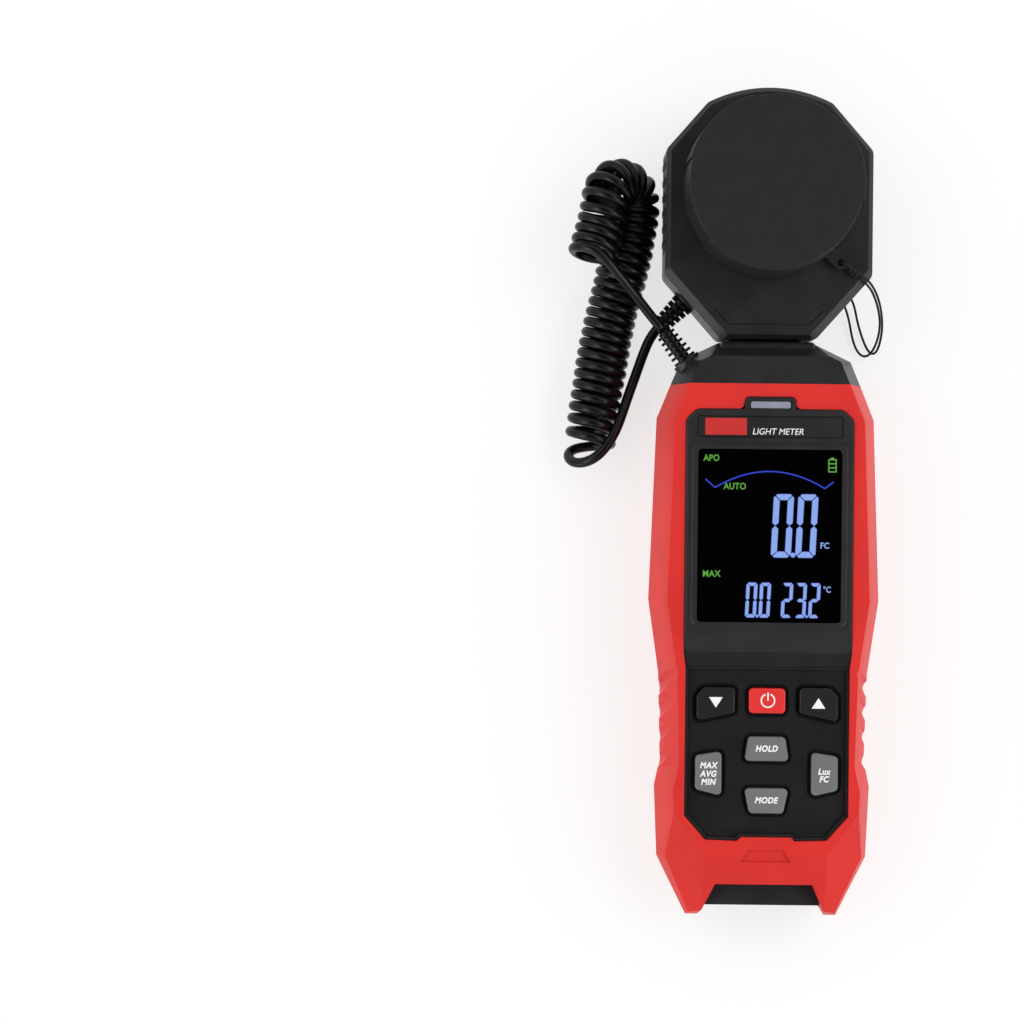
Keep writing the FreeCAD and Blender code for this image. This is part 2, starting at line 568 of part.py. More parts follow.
def make_head_shells():
    outer = head_prism(0, HEAD_BOTTOM_Z, HEAD_TOP_Z)
    outer = outer.makeFillet(HEAD_CORNER_R, vertical_edges(outer))
    outer = outer.makeChamfer(HEAD_BEVEL, edges_at(outer, HEAD_TOP_Z))
    outer = outer.makeChamfer(HEAD_BEVEL, edges_at(outer, HEAD_BOTTOM_Z))
    (wide_x, wide_y), (low_x, low_y) = HEAD_CORNERS[2:]
    for side in (1, -1):
        outward = V(side * (wide_y - low_y), low_x - wide_x, 0).normalize()
        start = V(side * low_x, low_y, HEAD_TOP_Z) - outward * HEAD_LOW_BEVEL
        outer = outer.cut(beyond(start, outward + UP))
    hollow_form = head_prism(-HEAD_WALL, HEAD_BOTTOM_Z + HEAD_WALL, HEAD_TOP_Z - HEAD_WALL)
    shell = outer.cut(hollow_form)
    groove = head_prism(1, HEAD_SPLIT_Z - HEAD_GROOVE / 2, HEAD_SPLIT_Z + HEAD_GROOVE / 2)
    shell = shell.cut(groove.cut(head_prism(-0.7, 0, 60)))
    for side in (1, -1):
        shell = shell.cut(grip_pad(side, SEAT_GAP / 2))
    front = shell.cut(band(-FAR, FAR, -FAR, HEAD_SPLIT_Z))
    rear = shell.cut(band(-FAR, FAR, HEAD_SPLIT_Z))
    collar = Part.makeCylinder(COLLAR_R, COLLAR_TOP_Z - HEAD_TOP_Z + 1, V(0, SENSOR_Y, HEAD_TOP_Z - 1))
    front = front.fuse(collar)
    front = front.cut(Part.makeCylinder(DOME_SEAT_R, 20, V(0, SENSOR_Y, DOME_SEAT_Z)))
    front = front.cut(Part.makeCylinder(DOME_BASE_R, 20, V(0, SENSOR_Y, DOME_SEAT_Z - 8)))
    front = front.cut(face_groove())
    tongue = rounded_prism([(-TONGUE[0] / 2, HEAD_LOW_Y - TONGUE[1]), (TONGUE[0] / 2, HEAD_LOW_Y - TONGUE[1]),
                            (TONGUE[0] / 2, HEAD_LOW_Y + 1), (-TONGUE[0] / 2, HEAD_LOW_Y + 1)],
                           TONGUE_Z, TONGUE_Z + TONGUE[2], 1.0)
    boss = relief_boss(HEAD_GLAND).common(head_prism(3, HEAD_BOTTOM_Z + 0.5, HEAD_SPLIT_Z - 0.5))
    rear = fused([rear, tongue, boss])
    rear = cut_all(rear, [relief_hole(HEAD_GLAND), make_eye()])
    floor_z = HEAD_BOTTOM_Z + 1.0
    for x in (11.0, -11.0):
        rear = rear.fuse(rod(1.8, (x, SENSOR_Y, floor_z), (x, SENSOR_Y, SENSOR_BOARD_Z)))
    for x, y in HEAD_SCREW_XY:
        rear = rear.fuse(rod(POST_R, (x, y, floor_z), (x, y, HEAD_SPLIT_Z)))
        shank, head = rod(1.25, (x, y, 0), (x, y, 40)), rod(2.1, (x, y, 0), (x, y, HEAD_BOTTOM_Z + 3.0))
        rear = cut_all(rear, [shank, head])
        front = front.fuse(rod(POST_R, (x, y, HEAD_SPLIT_Z), (x, y, HEAD_TOP_Z - 1)))
        front = front.cut(rod(0.95, (x, y, HEAD_SPLIT_Z - 1), (x, y, HEAD_SPLIT_Z + 7)))
    return front.removeSplitter(), rear.removeSplitter()


def face_groove():
    """The thin line cut in the head's face above the neck."""
    width, depth = 0.5, 0.45
    points = [(-15.6, 54.8), (-11.4, 50.6), (11.4, 50.6), (15.6, 54.8)]
    lines = []
    for a, b in zip(points, points[1:]):
        start, end = V(a[0], a[1], HEAD_TOP_Z), V(b[0], b[1], HEAD_TOP_Z)
        run = end - start
        bar = Part.makeBox(run.Length + width, width, 2 * depth, V(-width / 2, -width / 2, -depth))
        bar.Placement = FreeCAD.Placement(start, FreeCAD.Rotation(V(1, 0, 0), run))
        lines.append(bar)
    return fused(lines)


def grip_pad(side, grow):
    x0, x1 = sorted((side * (HEAD_HALF_X - GRIP_DEPTH - grow), side * (HEAD_HALF_X + 2 * grow)))
    return box(x0, x1, GRIP_Y[0] - grow, GRIP_Y[1] + grow, GRIP_Z[0] - grow, GRIP_Z[1] + grow)


def make_grip(side):
    pad = grip_pad(side, 0)
    length, pitch, height, count = RIB
    first = (GRIP_Y[0] + GRIP_Y[1]) / 2 - (count - 1) * pitch / 2
    for i in range(count):
        y = first + i * pitch
        x0, x1 = sorted((side * (HEAD_HALF_X - 0.4), side * (HEAD_HALF_X + height)))
        rib = box(x0, x1, y - length / 2, y + length / 2, GRIP_Z[0] + 1.0, GRIP_Z[1] - 1.0)
        pad = pad.fuse(rib)
    return pad.removeSplitter()


def spherical_cap(base_r, height, z, flange_r, flange_h):
    """A domed diffuser: a cap of a sphere on a flat flange, hollow underneath."""
    radius = (base_r ** 2 + height ** 2) / (2 * height)
    centre = V(0, SENSOR_Y, z + height - radius)
    solid = Part.makeSphere(radius, centre).cut(box(-60, 60, 0, 200, -100, z))
    inner = Part.makeSphere(radius - 1.4, centre).cut(box(-60, 60, 0, 200, -100, z - flange_h))
    flange = Part.makeCylinder(flange_r, flange_h, V(0, SENSOR_Y, z - flange_h))
    return solid.fuse(flange).cut(inner).removeSplitter()


def cap_outline(radius, step, z0, z1):
    """The cap's rim: three wide arcs that stand out by a small step from a flared circle."""
    centre = V(0, SENSOR_Y, z0)
    shape = Part.makeCone(radius - step + CAP_FLARE, radius - step, z1 - z0, centre)
    for start, sweep in LARGE_ARCS:
        sector = Part.makeCone(radius + CAP_FLARE, radius, z1 - z0, V(0, 0, 0), UP, sweep)
        sector.rotate(V(0, 0, 0), UP, start)
        sector.translate(centre)
        shape = shape.fuse(sector)
    return shape.removeSplitter()


def make_cap():
    """The rubber cap: open below, with an ear for its string."""
    low_z = HEAD_TOP_Z + FIT_GAP
    cap = cap_outline(CAP_R, CAP_STEP, low_z, CAP_TOP_Z)
    cap = cap.makeFillet(0.5, edges_at(cap, CAP_TOP_Z))
    inside_r = CAP_R - CAP_STEP - CAP_WALL
    angle = math.radians(EAR_ANGLE)
    ear_x, ear_y = EAR_REACH * math.cos(angle), SENSOR_Y + EAR_REACH * math.sin(angle)
    ear = Part.makeCylinder(EAR_R, EAR_Z[1] - EAR_Z[0], V(ear_x, ear_y, EAR_Z[0]))
    arm = Part.makeBox(EAR_REACH - inside_r, 2 * EAR_R, EAR_Z[1] - EAR_Z[0], V(inside_r, -EAR_R, 0))
    arm.rotate(V(0, 0, 0), UP, EAR_ANGLE)
    arm.translate(V(0, SENSOR_Y, EAR_Z[0]))
    hole = Part.makeCylinder(EAR_HOLE_R, EAR_Z[1], V(ear_x, ear_y, HEAD_TOP_Z))
    inside = Part.makeCylinder(inside_r, CAP_TOP_Z - CAP_WALL - low_z + 1, V(0, SENSOR_Y, low_z - 1))
    return cut_all(fused([cap, ear, arm]), [hole, inside])


# ---- cord ---------------------------------------------------------------------------------
def tube(points, diameter, name):
    """A round cord along straight runs joined by tangent arcs as large as the runs allow."""
    points = [V(*p) for p in points]
    edges, radii, start = [], [], points[0]
    for before, here, after in zip(points, points[1:], points[2:]):
        run_in, run_out = here - before, after - here
        turn = run_in.getAngle(run_out)
        back = 0.45 * min(run_in.Length, run_out.Length)
        radii.append(back / math.tan(turn / 2))
        d_in, d_out = V(run_in).normalize(), V(run_out).normalize()
        first, last = here - d_in * back, here + d_out * back
        bisector = (d_out - d_in).normalize()
        centre = here + bisector * (radii[-1] / math.cos(turn / 2))
        middle = centre - bisector * radii[-1]
        edges.append(Part.LineSegment(start, first).toShape())
        edges.append(Part.Arc(first, middle, last).toShape())
        start = last
    edges.append(Part.LineSegment(start, points[-1]).toShape())
    path = Part.Wire(edges)
    circle = Part.Circle(points[0], points[1] - points[0], diameter / 2).toShape()
    solid = path.makePipeShell([Part.Wire([circle])], True, True)
    print("%s: length %.1f mm, volume / (section * length) %.3f, radii %s" % (
        name, path.Length, solid.Volume / (math.pi * diameter ** 2 / 4 * path.Length),
        " ".join("%.1f" % r for r in radii)))
    return solid


LOWER_AXIS = [V(-50.6, 15.6, 7.95), V(-49.6, 25.0, 7.95), V(-47.6, 38.2, 7.95), V(-45.3, 51.7, 7.95),
              V(-42.6, 62.5, 7.95), V(-40.0, 73.0, 8.05), V(-38.6, 84.5, 8.25)]
UPPER_AXIS = [V(-46.8, 84.2, 18.9), V(-49.4, 77.0, 18.8), V(-51.0, 71.2, 20.6)]


def fat_tube(points, radius):
    """The outer form of a stretch of curly cord: cylinders with a ball at each joint."""
    parts = [rod(radius, a, b) for a, b in zip(points, points[1:])]
    parts += [Part.makeSphere(radius, p) for p in points[1:-1]]
    return fused(parts)


def make_coil():
    """The curly cord's outer form: a long stretch on the table, folded back over itself."""
    low, high = LOWER_AXIS[-1], UPPER_AXIS[0]
    centre = (low + high) * 0.5
    across = (high - low).normalize()
    bend_r = (high - low).Length / 2
    spin = V(0, 1, 0).cross(across).normalize()
    reach = spin * math.sqrt(UPPER_COIL_R ** 2 - bend_r ** 2)
    outermost = centre - across * (bend_r + UPPER_COIL_R)
    arc = Part.Arc(centre - reach, outermost, centre + reach).toShape()
    chord = Part.LineSegment(centre + reach, centre - reach).toShape()
    bend = Part.Face(Part.Wire([arc, chord])).revolve(centre, spin, 180)
    if bend.Volume < 0:
        bend.reverse()
    joints = [Part.makeSphere(COIL_R - SEAT_GAP / 2, low), Part.makeSphere(UPPER_COIL_R, high)]
    return fused([fat_tube(LOWER_AXIS, COIL_R), bend, fat_tube(UPPER_AXIS, UPPER_COIL_R)] + joints)


def gland_tip(gland):
    """The point just beyond a gland's last rib, where the cord comes out."""
    return V(*gland.root) + gland.direction * (gland.ribs * gland.pitch + 0.15)


HEAD_LEAD = [gland_tip(HEAD_GLAND), V(-32.8, 48.3, 9.6), V(-35.0, 43.3, 9.2), V(-37.2, 36.8, 8.9),
             V(-39.3, 30.8, 9.2), V(-41.1, 25.4, 10.8), V(-42.9, 20.4, 12.6), V(-45.4, 15.8, 13.3),
             V(-48.4, 12.4, 13.1), V(-51.6, 10.7, 12.0), V(-54.7, 10.4, 9.7), V(-56.6, 11.6, 6.7),
             V(-56.8, 13.4, 4.0), V(-54.8, 14.9, 2.2), V(-51.6, 15.8, 1.8)]
BODY_LEAD = [gland_tip(BODY_GLAND), V(-33.4, 53.4, 18.9), V(-38.2, 59.6, 19.9), V(-43.2, 66.1, 20.9),
             V(-48.1, 72.3, 21.3)]
# From the eye under the head, round the loops beside it, up through the cap's ear and back.
STRING = [V(20.3, 66.3, 4.0), V(23.0, 63.9, 3.2), V(26.3, 60.4, 2.3), V(27.6, 57.4, 1.7), V(28.3, 54.0, 1.2),
          V(29.3, 50.5, 0.9), V(30.6, 46.9, 0.8), V(31.8, 44.6, 0.8), V(33.1, 43.6, 1.0), V(34.3, 44.6, 1.9),
          V(34.9, 47.4, 4.6), V(34.8, 51.2, 9.5), V(33.6, 55.6, 15.5), V(31.8, 59.3, 20.8),
          V(29.6, 62.2, 24.8), V(27.3, 64.2, 26.6), V(24.3, 66.0, 27.9), V(22.3, 67.4, 28.7),
          V(20.2, 68.3, 28.9), V(20.2, 68.2, 25.6), V(22.6, 66.6, 25.6), V(26.2, 63.9, 25.5),
          V(29.0, 61.7, 24.0), V(31.1, 58.9, 20.2), V(32.9, 55.4, 15.3), V(34.0, 51.8, 10.2),
          V(34.1, 48.3, 5.4), V(33.3, 45.3, 2.6), V(32.0, 43.4, 1.7), V(30.4, 42.9, 1.4), V(28.9, 44.0, 1.0),
          V(27.7, 46.2, 0.9), V(26.8, 49.4, 1.0), V(26.2, 52.6, 1.3), V(25.3, 55.9, 1.8), V(24.1, 58.7, 2.4),
          V(22.4, 61.9, 3.1), V(20.9, 65.0, 3.7)]


# ---- inside the meter ---------------------------------------------------------------------
BOARD_HALF_X = 21.2
BOARD_Y = (-97.4, 29.0)
LCD_HALF_X = 20.6
LCD_Y = (-35.0, 15.2)
CELL_R = 5.25
CELL_LENGTH = 44.5
CELL_X = (-11.3, 0.0, 11.3)
CELL_Z = 9.9
PLATE = 0.4
SPRING_WIRE_D = 0.5


def plate(half_x, y_range, z0, z1):
    return box(-half_x, half_x, y_range[0], y_range[1], z0, z1)


def make_board():
    board = plate(BOARD_HALF_X, BOARD_Y, *BOARD_Z)
    return cut_all(board, [rod(1.2, (x, y, 0), (x, y, 30)) for x, y in BOARD_SCREW_XY])


def make_lcd_frame():
    outer = plate(21.9, (-36.3, 16.5), BOARD_Z[1] + 0.1, 30.3)
    seat = plate(LCD_HALF_X + 0.2, (LCD_Y[0] - 0.2, LCD_Y[1] + 0.2), 26.1, 40)
    return outer.cut(seat).cut(plate(19.4, (-34.0, 14.2), 10, 40))


def make_cell(index):
    """One cell: a can with a raised contact at its plus end; the middle one lies reversed."""
    spring_at_low = index != 1
    low = BAY_Y[0] + PLATE + (3.8 if spring_at_low else 0.1)
    x = CELL_X[index]
    body_low = low if spring_at_low else low + 0.8
    can = rod(CELL_R, (x, body_low, CELL_Z), (x, body_low + CELL_LENGTH - 0.8, CELL_Z))
    can = can.makeFillet(0.5, [can.Edges[0], can.Edges[2]])
    tip_low = low + CELL_LENGTH - 0.9 if spring_at_low else low
    return can.fuse(rod(1.9, (x, tip_low, CELL_Z), (x, tip_low + 0.9, CELL_Z))).removeSplitter()


def spring_route(y, along):
    """A conical winding that starts at y and climbs along Y, as eight points to the turn."""
    turns, corners, wide, narrow, height = 3, 8, 3.3, 2.4, 3.2
    points = []
    for i in range(turns * corners + 1):
        share = i / (turns * corners)
        angle = 2 * math.pi * i / corners
        radius = wide + (narrow - wide) * share
        points.append(V(radius * math.cos(angle), y + along * height * share, radius * math.sin(angle)))
    return points


def make_springs():
    """One conical contact spring for each cell."""
    springs = []
    for index, x in enumerate(CELL_X):
        at_low = index != 1
        y = BAY_Y[0] + PLATE + 0.35 if at_low else BAY_Y[1] - PLATE - 0.35
        route = [p + V(x, 0, CELL_Z) for p in spring_route(y, 1 if at_low else -1)]
        springs.append(tube(route, SPRING_WIRE_D, "contact spring"))
    return Part.makeCompound(springs)


def make_plates():
    low = box(-16.5, 16.5, BAY_Y[0] + 0.02, BAY_Y[0] + PLATE, 5.4, 14.4)
    high = box(-16.5, 16.5, BAY_Y[1] - PLATE, BAY_Y[1] - 0.02, 5.4, 14.4)
    return Part.makeCompound([low, high])


def make_door():
    door = door_opening(0.15, CAVITY_Z[0] - 0.9).cut(box(-40, 40, -160, 0, -2, DOOR_FACE_Z))
    ribs = [box(-15.0, 15.0, y, y + 1.2, 0, DOOR_FACE_Z + 0.45) for y in (-94.0, -91.0, -88.0)]
    door = cut_all(door, ribs)
    head, shank = [rod(r, (0, DOOR_SCREW_Y, 0), (0, DOOR_SCREW_Y, top)) for r, top in ((2.3, 2.3), (1.2, 9))]
    return cut_all(door, [head, shank])


def screws(places, z, size):
    """Equal screws pointing up, with their heads' outer faces at a height."""
    return Part.makeCompound([placed(screw(*size), (x, y, z), (0, 0, 1)) for x, y in places])


def make_insert():
    body = rod(INSERT_R - 0.02, (0, INSERT_Y, INSERT_FACE_Z), (0, INSERT_Y, INSERT_TOP_Z - 0.05))
    return body.cut(rod(TRIPOD_R, (0, INSERT_Y, 0), (0, INSERT_Y, INSERT_FACE_Z + TRIPOD_DEPTH)))


# ---- inside the head ----------------------------------------------------------------------
def disc(radius, z0, z1, hole=0.0):
    shape = Part.makeCylinder(radius, z1 - z0, V(0, SENSOR_Y, z0))
    if hole:
        shape = shape.cut(Part.makeCylinder(hole, z1 - z0 + 2, V(0, SENSOR_Y, z0 - 1)))
    return shape


def make_sensor():
    """The light path, from the board up to the diffuser."""
    board_top = SENSOR_BOARD_Z + 1.7
    save("sensor_board", disc(15.0, SENSOR_BOARD_Z + 0.1, board_top))
    save("photodiode", box(-3.5, 3.5, SENSOR_Y - 3.5, SENSOR_Y + 3.5, board_top, board_top + 2.2))
    filter_z = HEAD_TOP_Z - 4.5
    holder = disc(10.5, board_top, filter_z + 2.1, 7.5).cut(disc(9.1, filter_z - SEAT_GAP, filter_z + 3))
    save("filter_holder", holder)
    save("correction_filter", disc(9.0, filter_z, filter_z + 1.9))
    dome = spherical_cap(DOME_BASE_R - 0.2, DOME_HEIGHT, DOME_SEAT_Z + 1.5, DOME_SEAT_R - 0.1, 1.4)
    save("sensor_dome", dome)
    save("dome_ring", disc(DOME_SEAT_R - 0.05, DOME_SEAT_Z + 1.6, COLLAR_TOP_Z - 0.1, DOME_BASE_R + 0.2))


def make_meter():
    front_case, rear_case = make_case()
    save("front_case", front_case)
    save("rear_case", rear_case)
    save("red_jacket", make_jacket())
    save("display_bezel", make_panel())
    save("display_window", make_window())
    save("label_plate", plate(LABEL_HALF_X - 0.3, (LABEL_Y[0] + 0.3, LABEL_Y[1] - 0.3),
                              DISPLAY_TOP_Z - 0.5, DISPLAY_TOP_Z - 0.2))
    save("indicator_lens", indicator_outline(-0.05, 24.0, DISPLAY_TOP_Z + 0.1))
    save("indicator_led", box(-1.6, 1.6, INDICATOR[2] - 0.8, INDICATOR[2] + 0.8, BOARD_Z[1], 23.4))
    save("keypad_plate", make_keypad_plate())
    save("rubber_keypad", make_rubber_keypad())
    for name, outline in KEYS.items():
        save(name, make_key(outline))
    save("main_board", make_board())
    save("lcd_frame", make_lcd_frame())
    save("lcd_backlight", plate(LCD_HALF_X, LCD_Y, 26.2, 28.5))
    save("lcd_panel", plate(LCD_HALF_X, LCD_Y, 28.6, 30.4))
    save("processor_chip", box(-2.0, 10.0, -18.0, -6.0, BOARD_Z[1], BOARD_Z[1] + 1.4))
    save("buzzer", rod(4.5, (-11.0, 0, BOARD_Z[1]), (-11.0, 0, BOARD_Z[1] + 3.4)))
    for index in range(len(CELL_X)):
        save("battery_cell_%d" % (index + 1), make_cell(index))
    save("battery_springs", make_springs())
    save("battery_plates", make_plates())
    save("battery_door", make_door())
    save("door_screw", screws([(0, DOOR_SCREW_Y)], DOOR_SCREW_Z, (2.1, 1.3, 0.8, 7.0)))
    save("case_screws", screws([(x, y) for x, y, _ in CASE_SCREW_XY], 3.4, (2.0, 1.5, 0.9, 17.0)))
    board_screws = [placed(screw(1.7, 1.4, 0.8, 6.4), (x, y, BOARD_Z[1] + 1.4), (0, 0, -1))
                    for x, y in BOARD_SCREW_XY]
    save("board_screws", Part.makeCompound(board_screws))
    save("tripod_insert", make_insert())
    save("body_strain_relief", placed(strain_relief(BODY_GLAND), BODY_GLAND.root, BODY_GLAND.direction))


def make_head():
    head_front, head_rear = make_head_shells()
    save("head_front_shell", head_front)
    save("head_rear_shell", head_rear)
    save("head_grip_right", make_grip(1))
    save("head_grip_left", make_grip(-1))
    save("head_screws", screws(HEAD_SCREW_XY, HEAD_BOTTOM_Z + 1.4, (1.95, 1.4, 0.9, 12.5)))
    save("head_strain_relief", placed(strain_relief(HEAD_GLAND), HEAD_GLAND.root, HEAD_GLAND.direction))
    save("lanyard_eye", make_eye())
    make_sensor()
    save("sensor_cap", make_cap())


def make_cords():
    leads = {"cord_lead_head": tube(HEAD_LEAD, CORD_D, "head lead"),
             "cord_lead_body": tube(BODY_LEAD, CORD_D, "body lead")}
    for name, lead in leads.items():
        save(name, lead)
    save("cord_coil", cut_all(make_coil(), leads.values()))
    save("cap_lanyard", tube(STRING, STRING_D, "cap lanyard"))


make_meter()
make_head()
make_cords()
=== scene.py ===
"""How the light meter looks: finishes for the CAD parts, cords, key pads, display and legends.

Metres, in the CAD frame: the meter lies on its back on z = 0, the display looks along +Z and the
sensor head points along +Y. Sizes in the tables below are in millimetres.
"""
import json
import math
import random

import bmesh
import bpy
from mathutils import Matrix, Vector


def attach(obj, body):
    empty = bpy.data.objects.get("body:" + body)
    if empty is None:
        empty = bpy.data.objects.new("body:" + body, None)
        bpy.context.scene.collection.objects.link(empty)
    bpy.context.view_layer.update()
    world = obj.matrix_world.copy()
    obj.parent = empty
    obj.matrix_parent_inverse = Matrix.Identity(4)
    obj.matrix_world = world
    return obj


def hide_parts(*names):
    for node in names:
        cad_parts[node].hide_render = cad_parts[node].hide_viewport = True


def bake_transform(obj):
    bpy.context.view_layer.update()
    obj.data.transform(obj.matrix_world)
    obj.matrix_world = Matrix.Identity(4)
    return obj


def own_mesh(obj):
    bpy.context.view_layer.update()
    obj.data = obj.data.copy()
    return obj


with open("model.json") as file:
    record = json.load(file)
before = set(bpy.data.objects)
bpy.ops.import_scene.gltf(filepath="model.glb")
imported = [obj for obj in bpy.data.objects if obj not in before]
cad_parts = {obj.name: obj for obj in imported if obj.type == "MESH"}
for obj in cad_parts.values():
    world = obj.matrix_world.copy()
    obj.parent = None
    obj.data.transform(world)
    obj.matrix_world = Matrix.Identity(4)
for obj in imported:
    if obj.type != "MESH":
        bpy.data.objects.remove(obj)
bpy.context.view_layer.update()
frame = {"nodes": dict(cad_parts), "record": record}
NODES = frame["nodes"]
MM = 0.001
UP = Vector((0, 0, 1))


# ---- meshes -------------------------------------------------------------------------------
def metres(points):
    """Points given in millimetres, as vectors in metres."""
    return [Vector(p) * MM for p in points]


def link(obj, *materials):
    bpy.context.scene.collection.objects.link(obj)
    for finish in materials:
        obj.data.materials.append(finish)
    return obj


def mesh_object(name, points, faces, finish, smooth=False):
    mesh = bpy.data.meshes.new(name)
    mesh.from_pydata([tuple(p) for p in points], [], faces)
    mesh.polygons.foreach_set("use_smooth", [smooth] * len(faces))
    mesh.update()
    return link(bpy.data.objects.new(name, mesh), finish)


def spline_line(points, steps):
    """The points along one open NURBS spline through a route, steps to each control point."""
    data = bpy.data.curves.new("route", "CURVE")
    data.dimensions = "3D"
    spline = data.splines.new("NURBS")
    spline.points.add(len(points) - 1)
    for control, point in zip(spline.points, points):
        control.co = (*point, 1.0)
    spline.order_u = 3
    spline.use_endpoint_u = True
    spline.resolution_u = steps
    route = bpy.data.objects.new("route", data)
    mesh = bpy.data.meshes.new_from_object(route)
    line = [v.co.copy() for v in mesh.vertices]
    bpy.data.objects.remove(route)
    bpy.data.meshes.remove(mesh)
    bpy.data.curves.remove(data)
    return line


def tangents(line):
    ends = [line[0]] + line + [line[-1]]
    return [(b - a).normalized() for a, b in zip(ends, ends[2:])]


def carried_ups(line, first):
    """An upward direction at each point of a line, carried along it without twisting."""
    ups, up = [], first
    for tangent in tangents(line):
        up = (up - tangent * up.dot(tangent)).normalized()
        ups.append(up)
    return ups


def arc_lengths(line):
    """How far along a line each of its points is."""
    so_far = [0.0]
    for a, b in zip(line, line[1:]):
        so_far.append(so_far[-1] + (b - a).length)
    return so_far


def tube_object(name, line, radius, sides, finish, first_up=UP):
    """A round tube along a line, closed at its ends."""
    points, faces = [], []
    for here, along, up in zip(line, tangents(line), carried_ups(line, first_up)):
        side = along.cross(up)
        for i in range(sides):
            angle = 2 * math.pi * i / sides
            points.append(here + (up * math.cos(angle) + side * math.sin(angle)) * radius)
    for ring in range(len(line) - 1):
        for i in range(sides):
            j = (i + 1) % sides
            low, high = ring * sides, (ring + 1) * sides
            faces.append((low + i, low + j, high + j, high + i))
    faces.append(tuple(reversed(range(sides))))
    faces.append(tuple(range(len(points) - sides, len(points))))
    return mesh_object(name, points, faces, finish, smooth=True)


def smooth_step(value):
    value = min(max(value, 0.0), 1.0)
    return value * value * (3 - 2 * value)


# ---- finishes -----------------------------------------------------------------------------
UNLIT = 0.05                    # how much of its colour a glowing figure shows without its glow
GLOSS_SPREAD = 0.1              # how far the roughness strays from its middle value
MOTTLE_STOPS = (0.3, 0.7)       # between these values of the noise the mottle goes from dark to light


def finish(name, colour, roughness, grain=0.02, grain_size=0.35, mottle=0.12, mottle_size=9.0,
           metallic=0.0, coat=0.0, coat_roughness=0.1, specular=0.5, glow=None):
    """A moulded or painted surface: mottled colour, uneven gloss and a fine raised grain.

    Colours are linear. Grain is its height and size, and mottle its strength and size, in mm.
    """
    made = bpy.data.materials.new(name)
    made.use_nodes = True
    nodes, links = made.node_tree.nodes, made.node_tree.links
    shader = nodes["Principled BSDF"]
    where = nodes.new("ShaderNodeTexCoord")
    broad = nodes.new("ShaderNodeTexNoise")
    broad.inputs["Scale"].default_value = 1 / (mottle_size * MM)
    broad.inputs["Detail"].default_value = 5.0
    links.new(where.outputs["Object"], broad.inputs["Vector"])
    ramp = nodes.new("ShaderNodeValToRGB")
    share = UNLIT if glow else 1.0
    for stop, place, factor in zip(ramp.color_ramp.elements, MOTTLE_STOPS, (1 - mottle, 1 + mottle)):
        stop.position = place
        stop.color = (*[c * factor * share for c in colour], 1.0)
    links.new(broad.outputs["Fac"], ramp.inputs["Fac"])
    links.new(ramp.outputs["Color"], shader.inputs["Base Color"])
    fine = nodes.new("ShaderNodeTexNoise")
    fine.inputs["Scale"].default_value = 1 / (grain_size * MM)
    fine.inputs["Detail"].default_value = 2.0
    links.new(where.outputs["Object"], fine.inputs["Vector"])
    gloss = nodes.new("ShaderNodeMapRange")
    gloss.inputs["To Min"].default_value = roughness * (1 - GLOSS_SPREAD)
    gloss.inputs["To Max"].default_value = min(roughness * (1 + GLOSS_SPREAD), 1.0)
    links.new(broad.outputs["Fac"], gloss.inputs["Value"])
    links.new(gloss.outputs["Result"], shader.inputs["Roughness"])
    bump = nodes.new("ShaderNodeBump")
    bump.inputs["Distance"].default_value = grain * MM
    links.new(fine.outputs["Fac"], bump.inputs["Height"])
    links.new(bump.outputs["Normal"], shader.inputs["Normal"])
    shader.inputs["Metallic"].default_value = metallic
    shader.inputs["Coat Weight"].default_value = coat
    shader.inputs["Coat Roughness"].default_value = coat_roughness
    shader.inputs["Specular IOR Level"].default_value = specular
    if glow:
        shader.inputs["Emission Color"].default_value = (*colour, 1.0)
        shader.inputs["Emission Strength"].default_value = glow
    return made


BLACK_SHINE = 0.25              # how strongly the black plastics mirror the room

